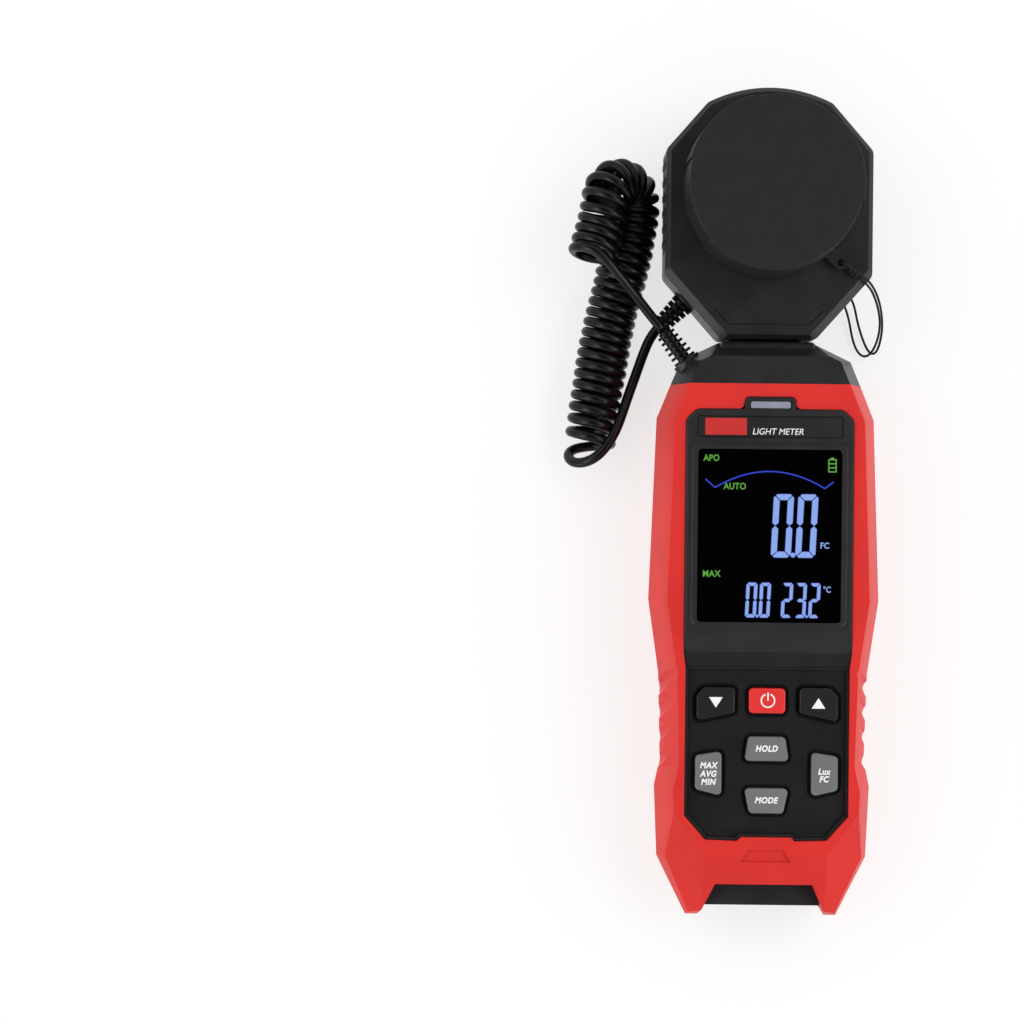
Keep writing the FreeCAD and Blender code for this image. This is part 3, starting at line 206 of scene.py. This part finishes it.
FINISHES = {
    "red_rubber": finish("red_rubber", (0.68, 0.037, 0.032), 0.36, grain=0.014, mottle=0.05, mottle_size=14,
                         specular=0.03),
    "case_black": finish("case_black", (0.0125, 0.0125, 0.013), 0.4, grain=0.03, mottle=0.2,
                         specular=0.3),
    "panel_black": finish("panel_black", (0.0155, 0.0148, 0.015), 0.42, grain=0.018, mottle=0.15,
                          specular=BLACK_SHINE),
    "keypad_black": finish("keypad_black", (0.0066, 0.0066, 0.007), 0.42, grain=0.02, mottle=0.15,
                           specular=0.2),
    "window_clear": finish("window_clear", (0.0006, 0.0006, 0.0007), 0.09, grain=0.0, mottle=0.1,
                           specular=0.12),
    "display_black": finish("display_black", (0.002, 0.002, 0.002), 0.3),
    "label_black": finish("label_black", (0.0073, 0.0073, 0.0077), 0.5, grain=0.006, specular=BLACK_SHINE),
    "lens_grey": finish("lens_grey", (0.27, 0.28, 0.36), 0.3, grain=0.003, coat=0.3),
    "key_grey": finish("key_grey", (0.136, 0.136, 0.139), 0.5, grain=0.012, mottle=0.08),
    "key_black": finish("key_black", (0.0085, 0.0085, 0.009), 0.4, grain=0.012, specular=BLACK_SHINE),
    "key_red": finish("key_red", (0.72, 0.018, 0.014), 0.4, grain=0.012, mottle=0.05),
    "cap_rubber": finish("cap_rubber", (0.0105, 0.0105, 0.011), 0.6, grain=0.025, grain_size=0.3, mottle=0.12,
                         mottle_size=5, specular=0.19),
    "cord_black": finish("cord_black", (0.0025, 0.0025, 0.0026), 0.3, grain=0.006, grain_size=0.5, mottle=0.2,
                         mottle_size=4, specular=0.17),
    "string_black": finish("string_black", (0.006, 0.006, 0.006), 0.7, grain=0.05, grain_size=0.2,
                           specular=BLACK_SHINE),
    "dome_white": finish("dome_white", (0.78, 0.78, 0.76), 0.5, grain=0.003, mottle=0.03),
    "filter_green": finish("filter_green", (0.05, 0.16, 0.06), 0.15, grain=0.0),
    "board_green": finish("board_green", (0.01, 0.09, 0.03), 0.35, grain=0.004),
    "chip_black": finish("chip_black", (0.012, 0.012, 0.012), 0.5),
    "frame_white": finish("frame_white", (0.7, 0.7, 0.68), 0.5),
    "silicone_grey": finish("silicone_grey", (0.25, 0.25, 0.26), 0.6),
    "steel": finish("steel", (0.42, 0.42, 0.43), 0.3, grain=0.004, metallic=1.0),
    "brass": finish("brass", (0.62, 0.42, 0.15), 0.32, grain=0.004, metallic=1.0),
    "cell_wrap": finish("cell_wrap", (0.05, 0.05, 0.06), 0.3, grain=0.002),
    "label_red": finish("label_red", (0.54, 0.020, 0.018), 0.5, grain=0.004, mottle=0.05, specular=0.3),
    "legend_white": finish("legend_white", (0.88, 0.88, 0.88), 0.5, grain=0.002, mottle=0.02),
    "glow_blue": finish("glow_blue", (0.23, 0.36, 0.78), 0.4, grain=0.0, mottle=0.03, glow=1.0),
    "glow_halo": finish("glow_halo", (0.004, 0.008, 0.16), 0.4, grain=0.0, mottle=0.03, glow=1.0),
    "glow_arc": finish("glow_arc", (0.010, 0.045, 0.55), 0.4, grain=0.0, mottle=0.03, glow=1.0),
    "glow_green": finish("glow_green", (0.085, 0.35, 0.030), 0.4, grain=0.0, mottle=0.03, glow=1.0),
}


# Finish, axis, from and to in mm, and what the colour is multiplied by there: painted shade on the steep drop
# below the display, and painted shade on everything in the key plate below its wells.
PAINTED_SHADE_BANDS = [("panel_black", "Y", -47.6, -43.2, 0.42), ("keypad_black", "Z", 0.0, 30.6, 0.15)]


def paint_shade_band(material, axis, low, high, factor):
    """Paints shade into a finish: multiplies its colour by a factor between two values of Y or Z, given in
    mm.
    """
    nodes, links = material.node_tree.nodes, material.node_tree.links
    shader = nodes["Principled BSDF"]
    plain = shader.inputs["Base Color"].links[0].from_socket
    where = nodes.new("ShaderNodeTexCoord")
    split = nodes.new("ShaderNodeSeparateXYZ")
    links.new(where.outputs["Object"], split.inputs["Vector"])
    inside = []
    for operation, limit in (("GREATER_THAN", low), ("LESS_THAN", high)):
        test = nodes.new("ShaderNodeMath")
        test.operation = operation
        test.inputs[1].default_value = limit * MM
        links.new(split.outputs[axis], test.inputs[0])
        inside.append(test)
    both = nodes.new("ShaderNodeMath")
    both.operation = "MULTIPLY"
    for socket, test in zip(both.inputs, inside):
        links.new(test.outputs["Value"], socket)
    mix = nodes.new("ShaderNodeMix")
    mix.data_type = "RGBA"
    mix.blend_type = "MULTIPLY"
    links.new(both.outputs["Value"], mix.inputs["Factor"])
    links.new(plain, mix.inputs["A"])
    mix.inputs["B"].default_value = (factor, factor, factor, 1.0)
    links.new(mix.outputs["Result"], shader.inputs["Base Color"])


EDGE_WIDTH = 0.12               # how wide an edge is rounded, and below where it is more
EDGE_WIDTHS = {"red_jacket": 0.45, "front_case": 0.35, "rear_case": 0.35, "head_front_shell": 0.3,
               "head_rear_shell": 0.3, "sensor_cap": 0.35, "display_bezel": 0.35, "keypad_plate": 0.2}
EDGE_ANGLE = 22                 # edges sharper than this are rounded, in degrees
FLAT_ANGLE = 0.5                # faces that turn less than this become one, in degrees
WELD_DISTANCE = 0.001


def dress_nodes():
    """Gives every CAD node its finish, and softens its sharp edges."""
    for row in frame["record"]["subparts"]:
        dress(NODES[row["node"]], FINISHES[row["material_slot"]])


def dress(node, material):
    node.data.materials.clear()
    node.data.materials.append(material)
    weld = node.modifiers.new("weld", "WELD")
    weld.merge_threshold = WELD_DISTANCE * MM
    flat = node.modifiers.new("flat faces", "DECIMATE")
    flat.decimate_type = "DISSOLVE"
    flat.angle_limit = math.radians(FLAT_ANGLE)
    bevel = node.modifiers.new("soft edges", "BEVEL")
    bevel.width = EDGE_WIDTHS.get(node.name, EDGE_WIDTH) * MM
    bevel.segments = 2
    bevel.limit_method = "ANGLE"
    bevel.angle_limit = math.radians(EDGE_ANGLE)
    bevel.use_clamp_overlap = True
    bevel.harden_normals = False
    node.modifiers.new("shading", "WEIGHTED_NORMAL").keep_sharp = False
    node.data.polygons.foreach_set("use_smooth", [True] * len(node.data.polygons))


# ---- cords --------------------------------------------------------------------------------
CORD_D = 2.95
COIL_R = 7.85
UPPER_COIL_R = 7.5
BODY_GLAND = (-29.8, 48.7, 18.5)
HEAD_GLAND = (-30.4, 50.9, 9.9)
HEAD_LEAD = [HEAD_GLAND, (-32.8, 48.3, 9.6), (-35.0, 43.3, 9.2), (-37.2, 36.8, 8.9),
             (-39.3, 30.8, 9.2), (-41.1, 25.4, 10.8), (-42.9, 20.4, 12.6), (-45.4, 15.8, 13.3),
             (-48.4, 12.4, 13.1), (-51.6, 10.7, 12.0), (-54.7, 10.4, 9.7), (-56.6, 11.6, 6.7),
             (-56.8, 13.4, 4.0), (-54.8, 14.9, 2.2)]
BODY_LEAD = [BODY_GLAND, (-33.3, 52.8, 19.0), (-36.7, 57.0, 19.9), (-40.2, 61.2, 21.8),
             (-43.8, 65.4, 24.2), (-47.0, 68.9, 26.2)]
COIL_AXIS = [(-50.6, 15.6, 7.95), (-49.6, 25.0, 7.95), (-47.6, 38.2, 7.95), (-45.3, 51.7, 7.95),
             (-42.6, 62.5, 7.95), (-40.0, 73.0, 8.05), (-38.6, 82.0, 8.25), (-38.3, 87.6, 8.25),
             (-40.2, 91.6, 11.2), (-44.8, 91.4, 16.6), (-46.8, 87.2, 19.4), (-47.6, 81.8, 19.4),
             (-49.3, 74.8, 19.3), (-51.6, 67.0, 21.7)]
AXIS_STEPS = 240                # how finely the coil's axis is followed
PER_TURN = 14
PITCH = 2.98                    # the turns lie side by side
TOP_PITCH = 3.4                 # they open on the stretch that lies over the rest
TOP_STARTS = 88.0               # where along the axis that stretch starts
TOP_FADE = 6.0
LOOSE = (2.3, 6.5)              # how much wider the lowest turn is, and over what length that fades
WOBBLE = 0.12                   # how much a turn's radius strays
SIDES = 12


def coil_pitch(along):
    """The distance between turns, in mm, at a distance from the coil's lower end."""
    spread, fade = LOOSE
    opened = smooth_step((along - TOP_STARTS) / TOP_FADE)
    return PITCH + spread * math.exp(-along / fade) + (TOP_PITCH - PITCH) * opened


def coil_points():
    """The control points of the wound part: a left-handed helix round the coil's axis."""
    draw = random.Random(4)
    axis = spline_line(metres(COIL_AXIS), AXIS_STEPS)
    rows = zip(axis, tangents(axis), carried_ups(axis, UP), arc_lengths(axis))
    points, turns, last, wobble = [], 0.0, 0.0, 0.0
    for here, along, up, distance in rows:
        turns += (distance - last) / MM / coil_pitch(distance / MM)
        last = distance
        if turns * PER_TURN < len(points):
            continue
        if len(points) % PER_TURN == 0:
            wobble = draw.uniform(-WOBBLE, WOBBLE)
        share = smooth_step((distance / MM - TOP_STARTS) / TOP_FADE)
        radius = COIL_R + (UPPER_COIL_R - COIL_R) * share - CORD_D / 2 + wobble
        angle = math.pi - 2 * math.pi * len(points) / PER_TURN
        side = along.cross(up)
        points.append(here + (up * math.cos(angle) + side * math.sin(angle)) * radius * MM)
    last_turn = range(len(points) - PER_TURN, len(points))
    highest = max(last_turn, key=lambda i: points[i].z)
    return points[:highest + 1]


def make_cord():
    route = metres(HEAD_LEAD) + coil_points() + metres(BODY_LEAD[::-1])
    line = spline_line(route, 4)
    cord = tube_object("curly_cord", line, CORD_D / 2 * MM, SIDES, FINISHES["cord_black"])
    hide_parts("cord_coil", "cord_lead_head", "cord_lead_body")
    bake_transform(cord)


STRING_D = 0.7
STRING = [(20.3, 66.3, 4.0), (23.0, 63.9, 3.2), (26.3, 60.4, 2.3), (27.6, 57.4, 1.7), (28.3, 54.0, 1.2),
          (29.3, 50.5, 0.9), (30.6, 46.9, 0.8), (31.8, 44.6, 0.8), (33.1, 43.6, 1.0), (34.3, 44.6, 1.9),
          (34.9, 47.4, 4.6), (34.8, 51.2, 9.5), (33.6, 55.6, 15.5), (31.8, 59.3, 20.8),
          (29.6, 62.2, 24.8), (27.3, 64.2, 26.6), (24.3, 66.0, 27.9), (22.3, 67.4, 28.7),
          (20.2, 68.3, 28.9), (20.2, 68.2, 25.6), (22.6, 66.6, 25.6), (26.2, 63.9, 25.5),
          (29.0, 61.7, 24.0), (31.1, 58.9, 20.2), (32.9, 55.4, 15.3), (34.0, 51.8, 10.2),
          (34.1, 48.3, 5.4), (33.3, 45.3, 2.6), (32.0, 43.4, 1.7), (30.4, 42.9, 1.4), (28.9, 44.0, 1.0),
          (27.7, 46.2, 0.9), (26.8, 49.4, 1.0), (26.2, 52.6, 1.3), (25.3, 55.9, 1.8), (24.1, 58.7, 2.4),
          (22.4, 61.9, 3.1), (20.9, 65.0, 3.7)]
STRING_SIDES = 8
KNOT = ((22.9, 66.6, 27.3), (25.4, 64.7, 26.4))     # where the string is knotted beside the ear
KNOT_TURNS = 3
KNOT_R = 0.85
KNOT_THICKNESS = 0.84


def make_string():
    line = spline_line(metres(STRING), 8)
    string = tube_object("cap_string", line, STRING_D / 2 * MM, STRING_SIDES, FINISHES["string_black"])
    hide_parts("cap_lanyard")
    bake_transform(string)


def make_knot():
    """The knot that closes the string round the cap's ear: a few tight turns."""
    start, end = metres(KNOT)
    along = (end - start).normalized()
    side = along.orthogonal().normalized()
    across = along.cross(side)
    corners = 10
    last = KNOT_TURNS * corners
    line = []
    for i in range(last + 1):
        angle = 2 * math.pi * i / corners
        out = side * math.cos(angle) + across * math.sin(angle)
        line.append(start + (end - start) * i / last + out * KNOT_R * MM)
    radius = KNOT_THICKNESS / 2 * MM
    knot = tube_object("string_knot", line, radius, STRING_SIDES, FINISHES["string_black"], along)
    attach(knot, "cap")


# ---- rubber under the keys --------------------------------------------------------------
KEYS = ("key_power", "key_up", "key_down", "key_hold", "key_mode", "key_units", "key_max_min")
SHEET_TOP = 23.3                # the pads under the keys stand on the sheet
PAD_CUT = 0.01                  # the pads are cut off this far above the sheet


def cut_out(name, whole, chosen):
    """The faces of a mesh whose middles are chosen, as an object closed where they were cut."""
    piece = whole.copy()
    others = [face for face in piece.faces if not chosen(face.calc_center_median())]
    bmesh.ops.delete(piece, geom=others, context="FACES")
    bmesh.ops.holes_fill(piece, edges=[edge for edge in piece.edges if edge.is_boundary])
    bmesh.ops.recalc_face_normals(piece, faces=piece.faces)
    mesh = bpy.data.meshes.new(name)
    piece.to_mesh(mesh)
    piece.free()
    obj = link(bpy.data.objects.new(name, mesh), FINISHES["silicone_grey"])
    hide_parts("rubber_keypad")
    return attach(obj, "meter")


def make_keypad_rubber():
    """The sheet, and a pad under each key, each cut out of the keypad rubber as an object of its own."""
    node = NODES["rubber_keypad"]
    whole = bmesh.new()
    whole.from_mesh(node.data)
    whole.transform(node.matrix_world)
    bmesh.ops.remove_doubles(whole, verts=whole.verts, dist=WELD_DISTANCE * MM)
    limit = (SHEET_TOP + PAD_CUT) * MM
    cut_out("rubber_sheet", whole, lambda middle: middle.z < limit)
    for key in KEYS:
        corners = [NODES[key].matrix_world @ Vector(corner) for corner in NODES[key].bound_box]
        west, east = min(c.x for c in corners), max(c.x for c in corners)
        south, north = min(c.y for c in corners), max(c.y for c in corners)
        pad = cut_out("rubber_pad_" + key, whole, lambda middle: middle.z > limit
                      and west < middle.x < east and south < middle.y < north)
        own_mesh(pad)
    whole.free()


# ---- display ------------------------------------------------------------------------------
GRAPHIC_Z = 33.74               # just over the window, which ends at 33.7
GRAPHIC_DEPTH = 0.04
HALO = 0.3                      # width of the dim glow along the edge of each bar
# Name, digits, left, bottom, a digit's width and height, the width of a bar, and from digit to digit.
READINGS = [("reading", "0.0", 0.4, -16.2, 5.7, 18.0, 1.68, 6.95),
            ("maximum", "0.0", -6.75, -33.3, 3.1, 9.9, 0.92, 3.86),
            ("temperature", "23.2", 3.4, -33.3, 3.1, 9.9, 0.92, 3.9)]
# Name, text, left, baseline, a capital's height, finish, and how much narrower than the font.
WORDS = [("apo", "APO", -18.9, 11.1, 1.75, "glow_green", 0.86),
         ("auto", "AUTO", -13.1, 3.1, 1.75, "glow_green", 0.86),
         ("max", "MAX", -18.9, -21.8, 1.75, "glow_green", 0.90),
         ("unit", "FC", 14.4, -13.5, 1.65, "glow_blue", 0.92),
         ("degrees", "°C", 15.4, -26.0, 1.65, "glow_blue", 0.82)]
SEGMENTS = {"0": "abcdef", "2": "abged", "3": "abgcd"}
ARC_WIDTH = 0.38
WORD_BOLD = 0.055               # how far the outlines of the letters are moved out
LEAN = 0.045                    # the digits lean right by this much of their height


def slab(outlines, z, depth):
    """Flat shapes given by their corners in mm, with a little thickness: points and faces."""
    points, faces = [], []
    for outline in outlines:
        first, count = len(points), len(outline)
        points += [Vector((x, y, z - depth)) * MM for x, y in outline]
        points += [Vector((x, y, z)) * MM for x, y in outline]
        faces.append(tuple(range(first + count, first + 2 * count)))
        for i in range(count):
            j = (i + 1) % count
            faces.append((first + i, first + j, first + count + j, first + count + i))
    return points, faces


def bar_shapes(width, height, bar):
    """The seven bars of a digit, as mitred shapes, with its lower left corner at the origin."""
    gap, corner = bar * 0.11, bar * 0.6
    near, far = (corner - gap) / 2, (corner + gap) / 2
    top = [(corner, height), (width - corner, height), (width - far, height - near),
           (width - bar - gap, height - bar), (bar + gap, height - bar), (far, height - near)]
    upper_left = [(0, height - corner), (near, height - far), (bar, height - bar - gap),
                  (bar, height / 2 + bar / 2), (bar / 2, height / 2 + gap / 2), (0, height / 2 + bar / 2)]
    middle = [(bar / 2 + gap, height / 2), (bar + gap, height / 2 + bar / 2),
              (width - bar - gap, height / 2 + bar / 2), (width - bar / 2 - gap, height / 2),
              (width - bar - gap, height / 2 - bar / 2), (bar + gap, height / 2 - bar / 2)]

    def across(shape):
        return [(width - x, y) for x, y in shape]

    def down(shape):
        return [(x, height - y) for x, y in shape]

    return {"a": top, "b": across(upper_left), "c": down(across(upper_left)), "d": down(top),
            "e": down(upper_left), "f": upper_left, "g": middle}


def facing_up(shape):
    """The same outline, turning anticlockwise."""
    area = sum(a[0] * b[1] - b[0] * a[1] for a, b in zip(shape, shape[1:] + shape[:1]))
    return shape if area > 0 else shape[::-1]


def digit(shown, x, y, width, height, bar):
    """The lit bars of one digit; x, y is the lower left corner of its box."""
    shapes = bar_shapes(width, height, bar)
    return [facing_up([(x + px + LEAN * py, y + py) for px, py in shapes[name]]) for name in SEGMENTS[shown]]


def number(text, x, y, width, height, bar, pitch):
    """The bars and points of a number such as 23.2."""
    outlines = []
    for symbol in text:
        if symbol == ".":
            cx, r = x - (pitch - width) / 2, bar * 0.42
            outlines.append([(cx + r * math.cos(a * math.pi / 4), y + r + r * math.sin(a * math.pi / 4))
                             for a in range(8)])
            continue
        outlines += digit(symbol, x, y, width, height, bar)
        x += pitch
    return outlines


def stroke(points, width):
    """Quads along a line of points."""
    quads = []
    for a, b in zip(points, points[1:]):
        side = Vector((a[1] - b[1], b[0] - a[0])).normalized() * width / 2
        a, b = Vector(a), Vector(b)
        quads.append([tuple(p) for p in (a - side, b - side, b + side, a + side)])
    return quads


def graphic(name, outlines, material, body="meter", z=GRAPHIC_Z, depth=GRAPHIC_DEPTH):
    points, faces = slab(outlines, z, depth)
    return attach(mesh_object(name, points, faces, FINISHES[material]), body)


CAPITAL = 0.69                  # a capital's height as a share of the font's size
BOLD_SPACING = 1.2              # letters stand further apart the bolder they are


def words(name, text, x, y, height, material, body="meter", z=GRAPHIC_Z, slant=0.0, bold=0.0,
          align="LEFT", stretch=1.0):
    """A line of lettering: x, y is where its baseline starts or its middle, height is a capital's."""
    data = bpy.data.curves.new(name, "FONT")
    data.body = text
    data.size = height / CAPITAL * MM
    data.shear = slant
    data.offset = bold * MM
    data.space_character = 1 + BOLD_SPACING * bold
    data.extrude = GRAPHIC_DEPTH / 2 * MM
    data.align_x = align
    obj = link(bpy.data.objects.new(name, data), FINISHES[material])
    obj.location = (x * MM, y * MM, z * MM)
    obj.scale.x = stretch
    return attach(obj, body)


def arc_line():
    """The curved scale of the display: an arc with a short upward tick at each end."""
    middle, top, half, sag = 0.0, 8.2, 15.6, 4.7
    curve = [(middle + half * t, top - sag * t * t) for t in [i / 12 - 1 for i in range(25)]]
    return [(-18.3, 5.9)] + curve + [(18.1, 5.4)]


def battery_icon():
    x0, x1, y0, y1, line = 16.5, 18.9, 8.1, 11.9, 0.34
    bars = [[(x0, y0), (x0 + line, y0), (x0 + line, y1), (x0, y1)],
            [(x1 - line, y0), (x1, y0), (x1, y1), (x1 - line, y1)]]
    for i in range(4):
        y = y0 + i * (y1 - y0 - line) / 3
        bars.append([(x0 + line, y), (x1 - line, y), (x1 - line, y + line), (x0 + line, y + line)])
    bars.append([(x0 + 0.7, y1), (x1 - 0.7, y1), (x1 - 0.7, y1 + 0.4), (x0 + 0.7, y1 + 0.4)])
    return bars


def make_display():
    for name, text, x, y, width, height, bar, pitch in READINGS:
        outlines = number(text, x, y, width, height, bar, pitch)
        graphic("display_" + name, outlines, "glow_blue")
        edges = [quad for shape in outlines for quad in stroke(shape + shape[:1], HALO)]
        graphic("display_halo_" + name, edges, "glow_halo", z=GRAPHIC_Z - GRAPHIC_DEPTH / 2,
                depth=GRAPHIC_DEPTH / 2)
    graphic("display_arc", stroke(arc_line(), ARC_WIDTH), "glow_arc")
    graphic("display_battery", battery_icon(), "glow_green")
    for name, text, x, y, height, material, stretch in WORDS:
        words("display_" + name, text, x, y, height, material, bold=WORD_BOLD, stretch=stretch)


# ---- labels -------------------------------------------------------------------------------
LABEL_Z = 33.62
BADGE_Z = 33.64
BADGE = [(-18.5, 18.5), (-6.7, 18.5), (-6.7, 23.3), (-18.5, 23.3)]
KEY_TOP = 32.5
LEGEND_Z = KEY_TOP + 0.02
SIGN_WIDTH = 0.42               # the line of the power sign
LEGEND_HEIGHT = 1.62
LEGEND_LOOK = {"slant": 0.22, "bold": 0.095, "align": "CENTER", "z": LEGEND_Z, "stretch": 0.9}
# Key, name, text, middle and baseline.
LEGENDS = [("key_hold", "hold", "HOLD", -0.1, -71.4), ("key_mode", "mode", "MODE", -0.1, -86.1),
           ("key_max_min", "max", "MAX", -16.6, -76.3), ("key_max_min", "avg", "AVG", -16.6, -78.7),
           ("key_max_min", "min", "MIN", -16.6, -81.0), ("key_units", "lux", "Lux", 16.3, -77.8),
           ("key_units", "fc", "FC", 16.3, -79.95)]


def make_labels():
    graphic("label_badge", [BADGE], "label_red", z=BADGE_Z)
    words("label_name", "LIGHT METER", -5.2, 18.7, 1.75, "legend_white", z=LABEL_Z, slant=0.2,
          stretch=0.95)
    for body, name, text, x, y in LEGENDS:
        words("legend_" + name, text, x, y, LEGEND_HEIGHT, "legend_white", body=body, **LEGEND_LOOK)
    half, rise = 1.95, 1.5
    for name, side, x, y in (("up", 1, 14.6, -57.6), ("down", -1, -14.6, -57.6)):
        arrow = [(x - half, y - rise * side), (x + half, y - rise * side), (x, y + rise * side)]
        graphic("legend_" + name, [facing_up(arrow)], "legend_white", body="key_" + name, z=LEGEND_Z)
    x, y, r = 0.2, -56.95, 1.9
    ring = [(x + r * math.sin(a), y + r * math.cos(a))
            for a in [math.radians(22 + 316 * i / 24) for i in range(25)]]
    sign = stroke(ring, SIGN_WIDTH) + stroke([(x, y), (x, y + 2.3)], SIGN_WIDTH)
    graphic("legend_power", sign, "legend_white", body="key_power", z=LEGEND_Z)


# ---- stage --------------------------------------------------------------------------------
ROOM_LIGHT = 1.1
FLOOR_REACH = 4.0
FLOOR_Z = -0.0002
FLOOR_LIGHT = 0.72              # the floor is a light table
# Name, place, size, power, and whether it only shows as a shine on edges and slopes.
LIGHTS = [("key light", (0.8, 0.3, 1.0), 0.8, 4.5, False), ("fill light", (-0.9, 0.4, 0.9), 0.9, 2.5, False),
          ("low left light", (-0.8, -0.7, 0.18), 0.5, 2.4, True),
          ("low right light", (0.8, -0.7, 0.18), 0.5, 2.4, True),
          ("left edge light", (-0.6, -0.25, 0.62), 0.25, 2.6, True),
          ("right edge light", (0.6, -0.25, 0.62), 0.25, 2.6, True)]


def make_stage():
    pale = finish("floor", (0.28, 0.28, 0.28), 0.9, grain=0.0, mottle=0.01, mottle_size=200, specular=0.1)
    shader = pale.node_tree.nodes["Principled BSDF"]
    shader.inputs["Emission Color"].default_value = (1.0, 1.0, 1.0, 1.0)
    shader.inputs["Emission Strength"].default_value = FLOOR_LIGHT
    corners = [(x * FLOOR_REACH, y * FLOOR_REACH, FLOOR_Z) for x, y in ((-1, -1), (1, -1), (1, 1), (-1, 1))]
    mesh_object("floor", corners, [(0, 1, 2, 3)], pale)
    bpy.context.scene.world = make_room()
    for name, place, size, power, only_shine in LIGHTS:
        data = bpy.data.lights.new(name, "AREA")
        data.size = size
        data.energy = power
        lamp = bpy.data.objects.new(name, data)
        bpy.context.scene.collection.objects.link(lamp)
        lamp.location = place
        lamp.rotation_euler = (-Vector(place)).to_track_quat("-Z", "Y").to_euler()
        lamp.visible_diffuse = not only_shine


WHITE_BELOW = 0.75              # the room is white up to this height, as a share of straight up
BLACK_ABOVE = 0.95


def make_room():
    """A white room with a dark opening straight overhead, which smooth faces reflect as black."""
    world = bpy.data.worlds.new("soft room")
    world.use_nodes = True
    nodes, links = world.node_tree.nodes, world.node_tree.links
    where = nodes.new("ShaderNodeTexCoord")
    split = nodes.new("ShaderNodeSeparateXYZ")
    ramp = nodes.new("ShaderNodeValToRGB")
    stops = ramp.color_ramp.elements
    stops[0].position, stops[0].color = WHITE_BELOW, (1.0, 1.0, 1.0, 1.0)
    stops[1].position, stops[1].color = BLACK_ABOVE, (0.01, 0.01, 0.01, 1.0)
    links.new(where.outputs["Generated"], split.inputs["Vector"])
    links.new(split.outputs["Z"], ramp.inputs["Fac"])
    links.new(ramp.outputs["Color"], nodes["Background"].inputs["Color"])
    nodes["Background"].inputs["Strength"].default_value = ROOM_LIGHT
    return world


LENS = 94.87
SENSOR = 36.0
CAMERA_PLACE = (-0.07316, -0.00407, 0.8)
CAMERA_TURN = 0.6               # degrees


def make_camera():
    """Straight above, turned a little, and as far to the side as puts the meter right of the middle."""
    data = bpy.data.cameras.new("camera")
    data.lens = LENS
    data.sensor_width = SENSOR
    camera = bpy.data.objects.new("camera", data)
    bpy.context.scene.collection.objects.link(camera)
    camera.location = CAMERA_PLACE
    camera.rotation_euler = (0, 0, math.radians(CAMERA_TURN))
    bpy.context.scene.camera = camera


# painted shade: darkens the drop below the display and the wells of the key plate
for slot_name, *band in PAINTED_SHADE_BANDS:
    paint_shade_band(FINISHES[slot_name], *band)
dress_nodes()
make_cord()
make_string()
make_knot()
make_keypad_rubber()
make_display()
make_labels()
make_stage()
make_camera()
bpy.context.scene.view_settings.view_transform = "Standard"
